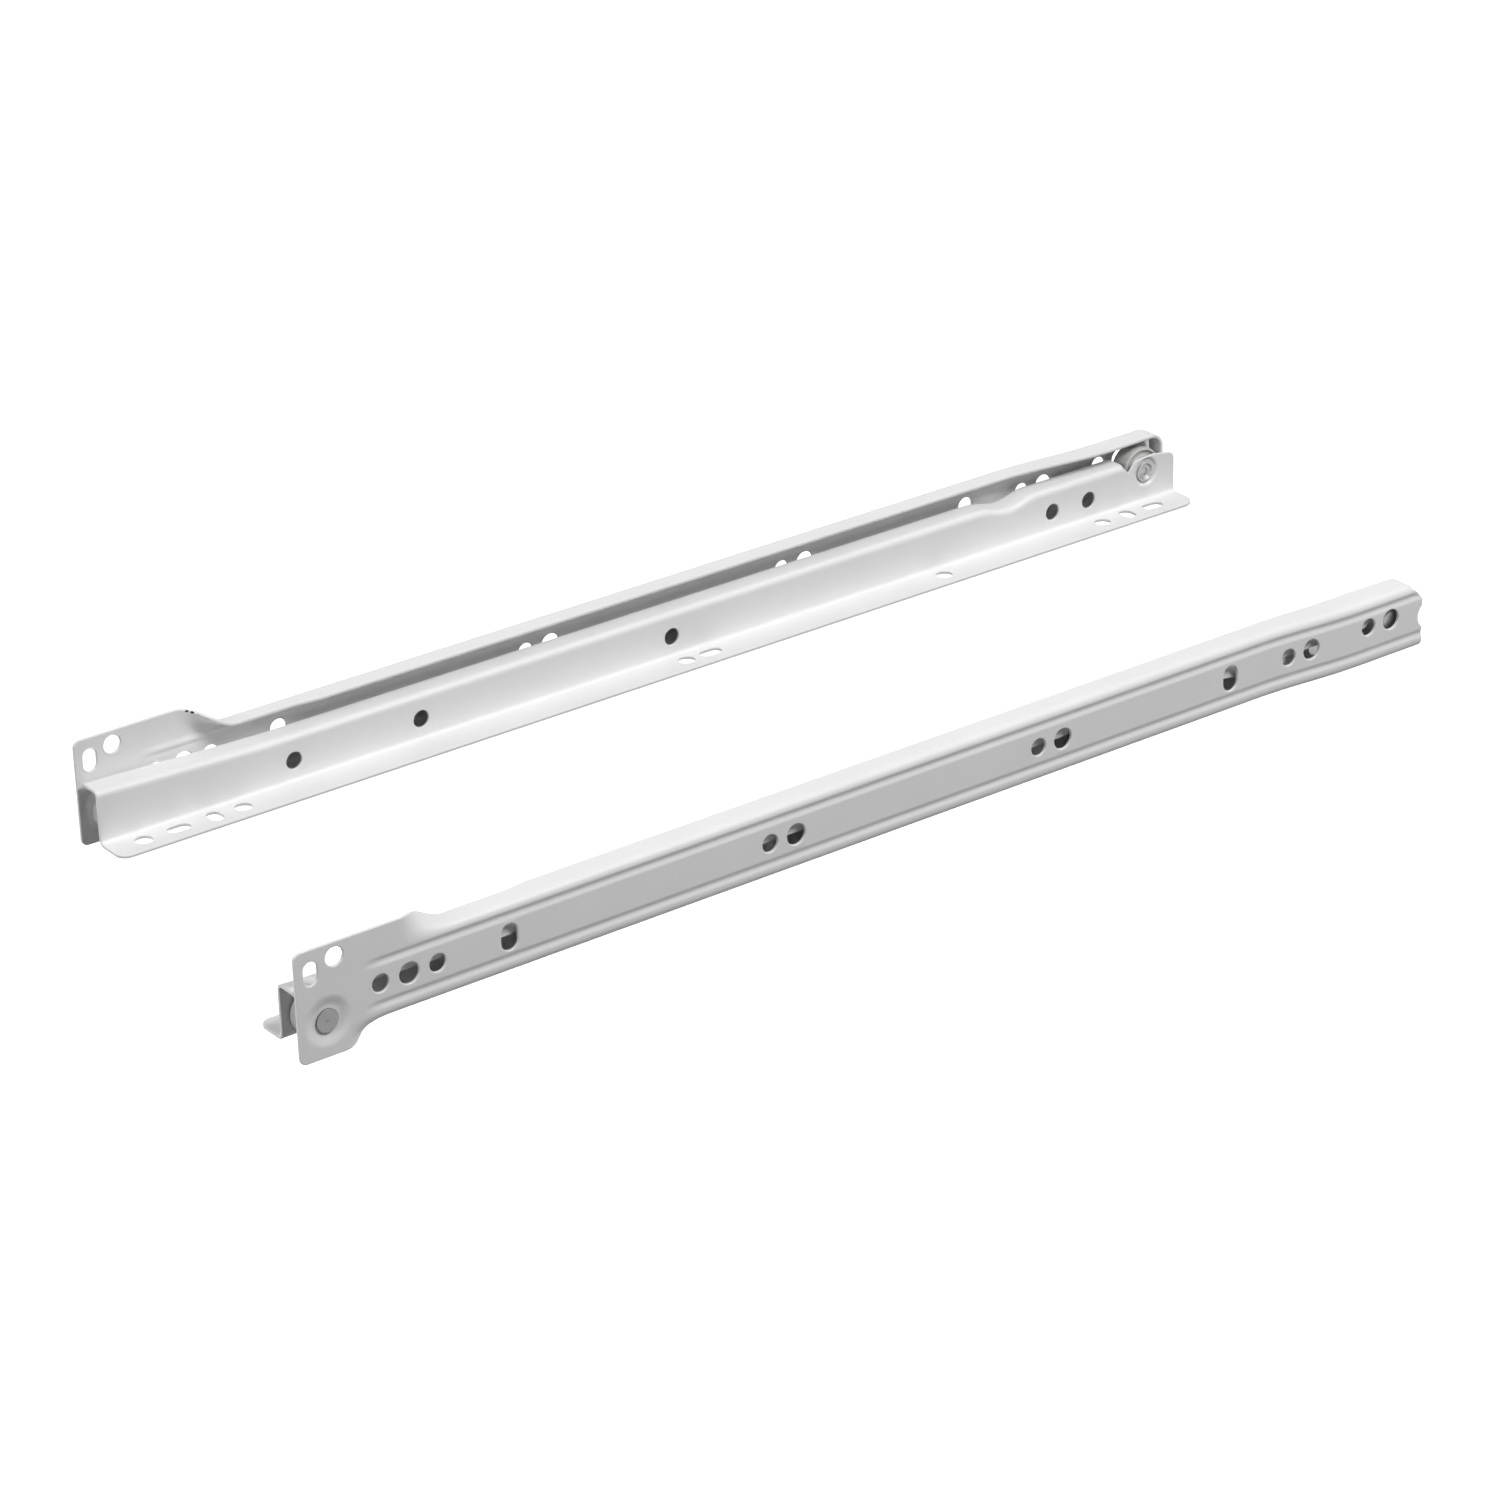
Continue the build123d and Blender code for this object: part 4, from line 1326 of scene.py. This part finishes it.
@dataclass(frozen=True)
class Roller:
    """Nylon roller with a finely ridged tread, recessed ends and a pocket for the axle's keeper."""

    radius: float
    centre: tuple[float, float]
    # Y of the end that faces the web that carries the roller, and sign of Y from there through the roller
    near: float
    inward: float
    width: float = 6.6
    bore: float = 2.55
    hub: float = 4.85
    pocket: float = 4.35
    pocket_depth: float = 1.4
    rim: float = 0.9
    recess: float = 0.6
    ridges: int = 9
    ridge_edge: float = 1.0
    ridge_radius: float = 0.09
    ridge_sink: float = 0.05
    ridge_sides: int = 6
    pieces: int = 96
    section_step: float = 1.2

    def section(self) -> np.ndarray:
        """Draws the section of the roller.

        Returns:
            Radius and Y of each point, from the bore over the tread to the pocket.
        """
        rim = self.radius - self.rim
        tread = self.radius - self.ridge_sink
        deep = self.width - self.recess
        floor = self.width - self.pocket_depth
        corners = [
            (self.bore, 0.0, 0.15),
            (self.hub, 0.0, 0.2),
            (self.hub, self.recess, 0.2),
            (rim, self.recess, 0.25),
            (rim, 0.0, 0.2),
            (tread, 0.0, 0.65),
            (tread, self.width, 0.65),
            (rim, self.width, 0.2),
            (rim, deep, 0.25),
            (self.hub, deep, 0.2),
            (self.hub, self.width, 0.15),
            (self.pocket, self.width, 0.15),
            (self.pocket, floor, 0.15),
            (self.bore, floor, 0.15),
        ]
        section = rounded(corners, self.section_step)
        section[:, 1] = self.near + self.inward * section[:, 1]
        return section

    def build(self, name: str, hand: Hand, material: bpy.types.Material) -> bpy.types.Object:
        """The roller without its ridges."""
        mesh = turned_mesh(name, self.section(), self.centre, hand, self.pieces)
        return new_piece(name, mesh, material)

    def tread(self, name: str, hand: Hand, material: bpy.types.Material) -> bpy.types.Object:
        """Makes the fine ridges of the tread.

        Args:
            name: name of the piece.
            hand: side that the roller belongs to.
            material: finish of the roller.

        Returns:
            All ridges of the tread as one piece.
        """
        step = (self.width - 2 * self.ridge_edge) / (self.ridges - 1)
        x, z = self.centre
        first = (x, self.near + self.inward * self.ridge_edge, z)
        second = (x, self.near + self.inward * (self.ridge_edge + step), z)
        start, after = PAIR.place(np.array((first, second)), hand)
        carrier = linked(name + "_row", bpy.data.meshes.new(name))
        sizes = {
            "Centre": start.tolist(),
            "Step": (after - start).tolist(),
            "Ridges": self.ridges,
            "Tread Radius": (self.radius - self.ridge_radius) * MM,
            "Tread Pieces": self.pieces,
            "Ridge Radius": self.ridge_radius * MM,
            "Ridge Sides": self.ridge_sides,
            "Finish": material,
        }
        run_tree(carrier, tread_tree(), sizes)
        return new_piece(name, plain_mesh(carrier), material)


class HeadMark(Enum):
    """What the riveting tool leaves in an axle's head: radius, depth and rounding of each corner."""

    PUNCH = ((0.0, 0.3, 0.0), (0.3, 0.22, 0.1), (0.62, 0.0, 0.2))
    CUP = ((0.0, 0.62, 0.0), (0.75, 0.8, 0.4), (1.5, 1.05, 0.35), (2.2, 0.9, 0.4), (2.75, 0.0, 0.25))


@dataclass(frozen=True)
class RivetAxle:
    """Riveted axle: a head in the rail's dish, a shank through the roller and a keeper in its pocket."""

    centre: tuple[float, float]
    # Y of the dish's floor that the head sits on, and sign of Y from there along the shank
    seat: float
    inward: float
    mark: HeadMark
    head: float = 3.45
    head_thickness: float = 0.65
    shank: float = 2.5
    keeper: float = 4.1
    keeper_from_seat: float = 6.75
    keeper_thickness: float = 0.9
    pieces: int = 72
    section_step: float = 0.8

    def build(self, name: str, hand: Hand, material: bpy.types.Material) -> bpy.types.Object:
        """Makes the axle.

        Args:
            name: name of the piece.
            hand: side that the axle belongs to.
            material: finish of the axle.

        Returns:
            The turned axle.
        """
        keeper_end = self.keeper_from_seat + self.keeper_thickness
        corners = [
            *[(radius, depth - self.head_thickness, soft) for radius, depth, soft in self.mark.value],
            (self.head, -self.head_thickness, 0.25),
            (self.head, 0.0, 0.1),
            (self.shank, 0.0, 0.0),
            (self.shank, self.keeper_from_seat, 0.1),
            (self.keeper, self.keeper_from_seat, 0.1),
            (self.keeper, keeper_end, 0.25),
            (0.0, keeper_end, 0.0),
        ]
        section = rounded(corners, self.section_step, closed=False)
        section[:, 1] = self.seat + self.inward * section[:, 1]
        return new_piece(name, turned_mesh(name, section, self.centre, hand, self.pieces), material)


@dataclass
class Slide:
    """One slide of the pair: the two rails, their rollers and their axles."""

    hand: Hand
    finishes: Finishes
    cabinet_rail: CabinetRail = field(default_factory=CabinetRail)
    drawer_rail: DrawerRail = field(default_factory=DrawerRail)
    front_roller: Roller = Roller(radius=6.6, centre=FRONT_AXLE, near=3.5, inward=1.0, width=5.2)
    rear_roller: Roller = Roller(radius=7.4, centre=REAR_AXLE, near=8.6, inward=-1.0)
    front_axle: RivetAxle = RivetAxle(FRONT_AXLE, seat=0.8, inward=1.0, mark=HeadMark.PUNCH)
    rear_axle: RivetAxle = RivetAxle(REAR_AXLE, seat=9.9, inward=-1.0, mark=HeadMark.CUP)

    def build(self) -> None:
        """Builds all pieces of the slide and lets them ride on their bodies."""
        hand, side = self.hand, self.hand.value
        coat, nylon = self.finishes.coat, self.finishes.nylon
        cabinet, drawer = "cabinet_rails", f"{side}_drawer"
        for rail, member, form, body in (
            (self.cabinet_rail, f"{side}_cabinet", "channel", cabinet),
            (self.drawer_rail, f"{side}_drawer", "runner", drawer),
        ):
            carry(rail.build(f"{member}_{form}", hand, coat), body, f"{member}_rail")
            carry(rail.rims(f"{member}_hole_rims", hand, coat), body)
        for end, roller in (("front", self.front_roller), ("rear", self.rear_roller)):
            body = f"{side}_{end}_roller"
            carry(roller.build(f"{body}_wheel", hand, nylon), body, body)
            carry(roller.tread(f"{body}_tread", hand, nylon), body)
        # The rear rivets take the lighter copy of the zinc: painted light, for the light that falls on the
        # drawer rail's tab
        for end, axle, body, zinc in (
            ("front", self.front_axle, cabinet, self.finishes.zinc),
            ("rear", self.rear_axle, drawer, self.finishes.painted_light_zinc),
        ):
            rivet = axle.build(f"{side}_{end}_rivet", hand, zinc)
            carry(rivet, body, f"{side}_{end}_axle")


@dataclass(frozen=True)
class Lamp:
    """A square soft light: its place and the length of its sides in metres, and its power in watts."""

    name: str
    place: tuple[float, float, float]
    size: float
    power: float

    def build(self, target: tuple[float, float, float]) -> None:
        """Hangs the light in its place.

        Args:
            target: point that it faces.
        """
        data = bpy.data.lights.new(self.name, "AREA")
        data.shape = "SQUARE"
        data.size = self.size
        data.energy = self.power
        lamp = linked(self.name, data)
        lamp.location = self.place
        facing = Vector(target) - Vector(self.place)
        lamp.rotation_euler = facing.to_track_quat("-Z", "Y").to_euler()


@dataclass
class Studio:
    """White surroundings, soft light and the camera of the photograph. Sizes are in metres."""

    azimuth: float = -36.333
    elevation: float = 25.234
    roll: float = -1.668
    camera_place: tuple[float, float, float] = (-0.800476, -1.024422, 0.629623)
    lens: float = 124.211
    sensor: float = 36.0
    sight: float = 50.0
    floor_height: float = -0.42
    floor_size: float = 14.0
    # The floor as it is seen, with its own glow, and as it throws light back on the slides
    paper: str = "#FAFAFA"
    paper_glow: float = 0.9
    bounce: str = "#505050"
    white: str = "#FFFFFF"
    sky: float = 0.05
    # A key light high in front of the slides, and weaker softboxes at both ends and behind them
    lamps: tuple[Lamp, ...] = (
        Lamp("key_above", (0.5, -1.14, 1.64), 0.7, 34.0),
        Lamp("softbox_left", (-1.75, 0.0, 0.8), 1.0, 16.0),
        Lamp("softbox_right", (1.4, -0.25, 1.4), 1.2, 4.0),
        Lamp("softbox_behind", (-0.5, 1.4, 0.6), 1.2, 7.0),
    )
    lamp_target: tuple[float, float, float] = (0.0, 0.08, 0.0)

    def build(self) -> None:
        """Builds the floor, the light and the camera."""
        self.build_floor()
        self.build_world()
        for lamp in self.lamps:
            lamp.build(self.lamp_target)
        self.build_camera()

    def build_floor(self) -> None:
        """Plain white floor, far enough below that the slides' soft shadow falls out of the picture."""
        half = self.floor_size / 2
        corners = [(-half, -half), (half, -half), (half, half), (-half, half)]
        points = np.array([(x, y, self.floor_height) for x, y in corners])
        mesh = new_mesh("floor", points, [], [(0, 1, 2, 3)])
        floor = linked("floor", mesh)
        material = bpy.data.materials.new("floor_paper")
        material.use_nodes = True
        tree = material.node_tree
        tree.nodes.remove(tree.nodes["Principled BSDF"])
        bounce = add_node(tree, "ShaderNodeBsdfDiffuse", {"Color": linear(self.bounce)})
        paper = add_node(tree, "ShaderNodeBsdfDiffuse", {"Color": linear(self.paper)})
        light = {"Color": linear(self.white), "Strength": self.paper_glow}
        glow = add_node(tree, "ShaderNodeEmission", light)
        white = add_node(tree, "ShaderNodeAddShader", {0: paper.outputs[0], 1: glow.outputs[0]})
        sides = {0: self.seen(tree), 1: bounce.outputs[0], 2: white.outputs[0]}
        mixed = add_node(tree, "ShaderNodeMixShader", sides)
        tree.links.new(mixed.outputs[0], tree.nodes["Material Output"].inputs["Surface"])
        mesh.materials.append(material)

    def seen(self, tree: bpy.types.NodeTree) -> bpy.types.NodeSocket:
        """Adds nodes that tell rays that see the surroundings from rays that only light by them.

        Args:
            tree: node tree of a material or the world.

        Returns:
            Socket that is 1 for camera, glossy and transmission rays.
        """
        path = add_node(tree, "ShaderNodeLightPath").outputs
        rays = {0: path["Is Glossy Ray"], 1: path["Is Transmission Ray"]}
        shiny = add_node(tree, "ShaderNodeMath", rays, operation="MAXIMUM").outputs[0]
        rays = {0: path["Is Camera Ray"], 1: shiny}
        return add_node(tree, "ShaderNodeMath", rays, operation="MAXIMUM").outputs[0]

    def build_world(self) -> None:
        """White surroundings that give the slides only a plain soft light."""
        world = bpy.data.worlds.new("studio")
        world.use_nodes = True
        bpy.context.scene.world = world
        tree = world.node_tree
        tree.nodes.clear()
        colour = linear(self.white)
        soft = add_node(tree, "ShaderNodeBackground", {"Color": colour, "Strength": self.sky})
        white = add_node(tree, "ShaderNodeBackground", {"Color": colour, "Strength": 1.0})
        sides = {0: self.seen(tree), 1: soft.outputs[0], 2: white.outputs[0]}
        mixed = add_node(tree, "ShaderNodeMixShader", sides)
        add_node(tree, "ShaderNodeOutputWorld", {"Surface": mixed.outputs[0]})

    def build_camera(self) -> None:
        """Camera at the place and angle from which the photograph was taken."""
        around, up, roll = (math.radians(angle) for angle in (self.azimuth, self.elevation, self.roll))
        right = Vector((math.cos(around), math.sin(around), 0.0))
        ahead = Vector((-math.sin(around) * math.cos(up), math.cos(around) * math.cos(up), -math.sin(up)))
        above = right.cross(ahead)
        level = math.cos(roll) * right + math.sin(roll) * above
        upright = math.cos(roll) * above - math.sin(roll) * right
        turn = Matrix((level, upright, -ahead)).transposed().to_4x4()
        data = bpy.data.cameras.new("camera")
        data.sensor_fit = "HORIZONTAL"
        data.sensor_width = self.sensor
        data.lens = self.lens
        data.clip_end = self.sight
        camera = linked("camera", data)
        camera.matrix_world = Matrix.Translation(self.camera_place) @ turn
        bpy.context.scene.camera = camera


def main() -> None:
    """Builds both slides and the studio."""
    logging.basicConfig(level=logging.INFO, format="%(message)s")
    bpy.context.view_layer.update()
    bpy.context.scene.view_settings.view_transform = "Standard"
    finishes = Finishes(
        coat=EpoxyCoat().material(),
        nylon=MouldedNylon().material(),
        zinc=ZincPlate().material(),
        # The same zinc plating drawn lighter for the rear rivets: painted light
        painted_light_zinc=ZincPlate("painted_light_zinc_plated_steel", "#ACACAC", "#949494").material(),
    )
    for hand in Hand:
        Slide(hand, finishes).build()
    Studio().build()


if __name__ == "__main__":
    main()
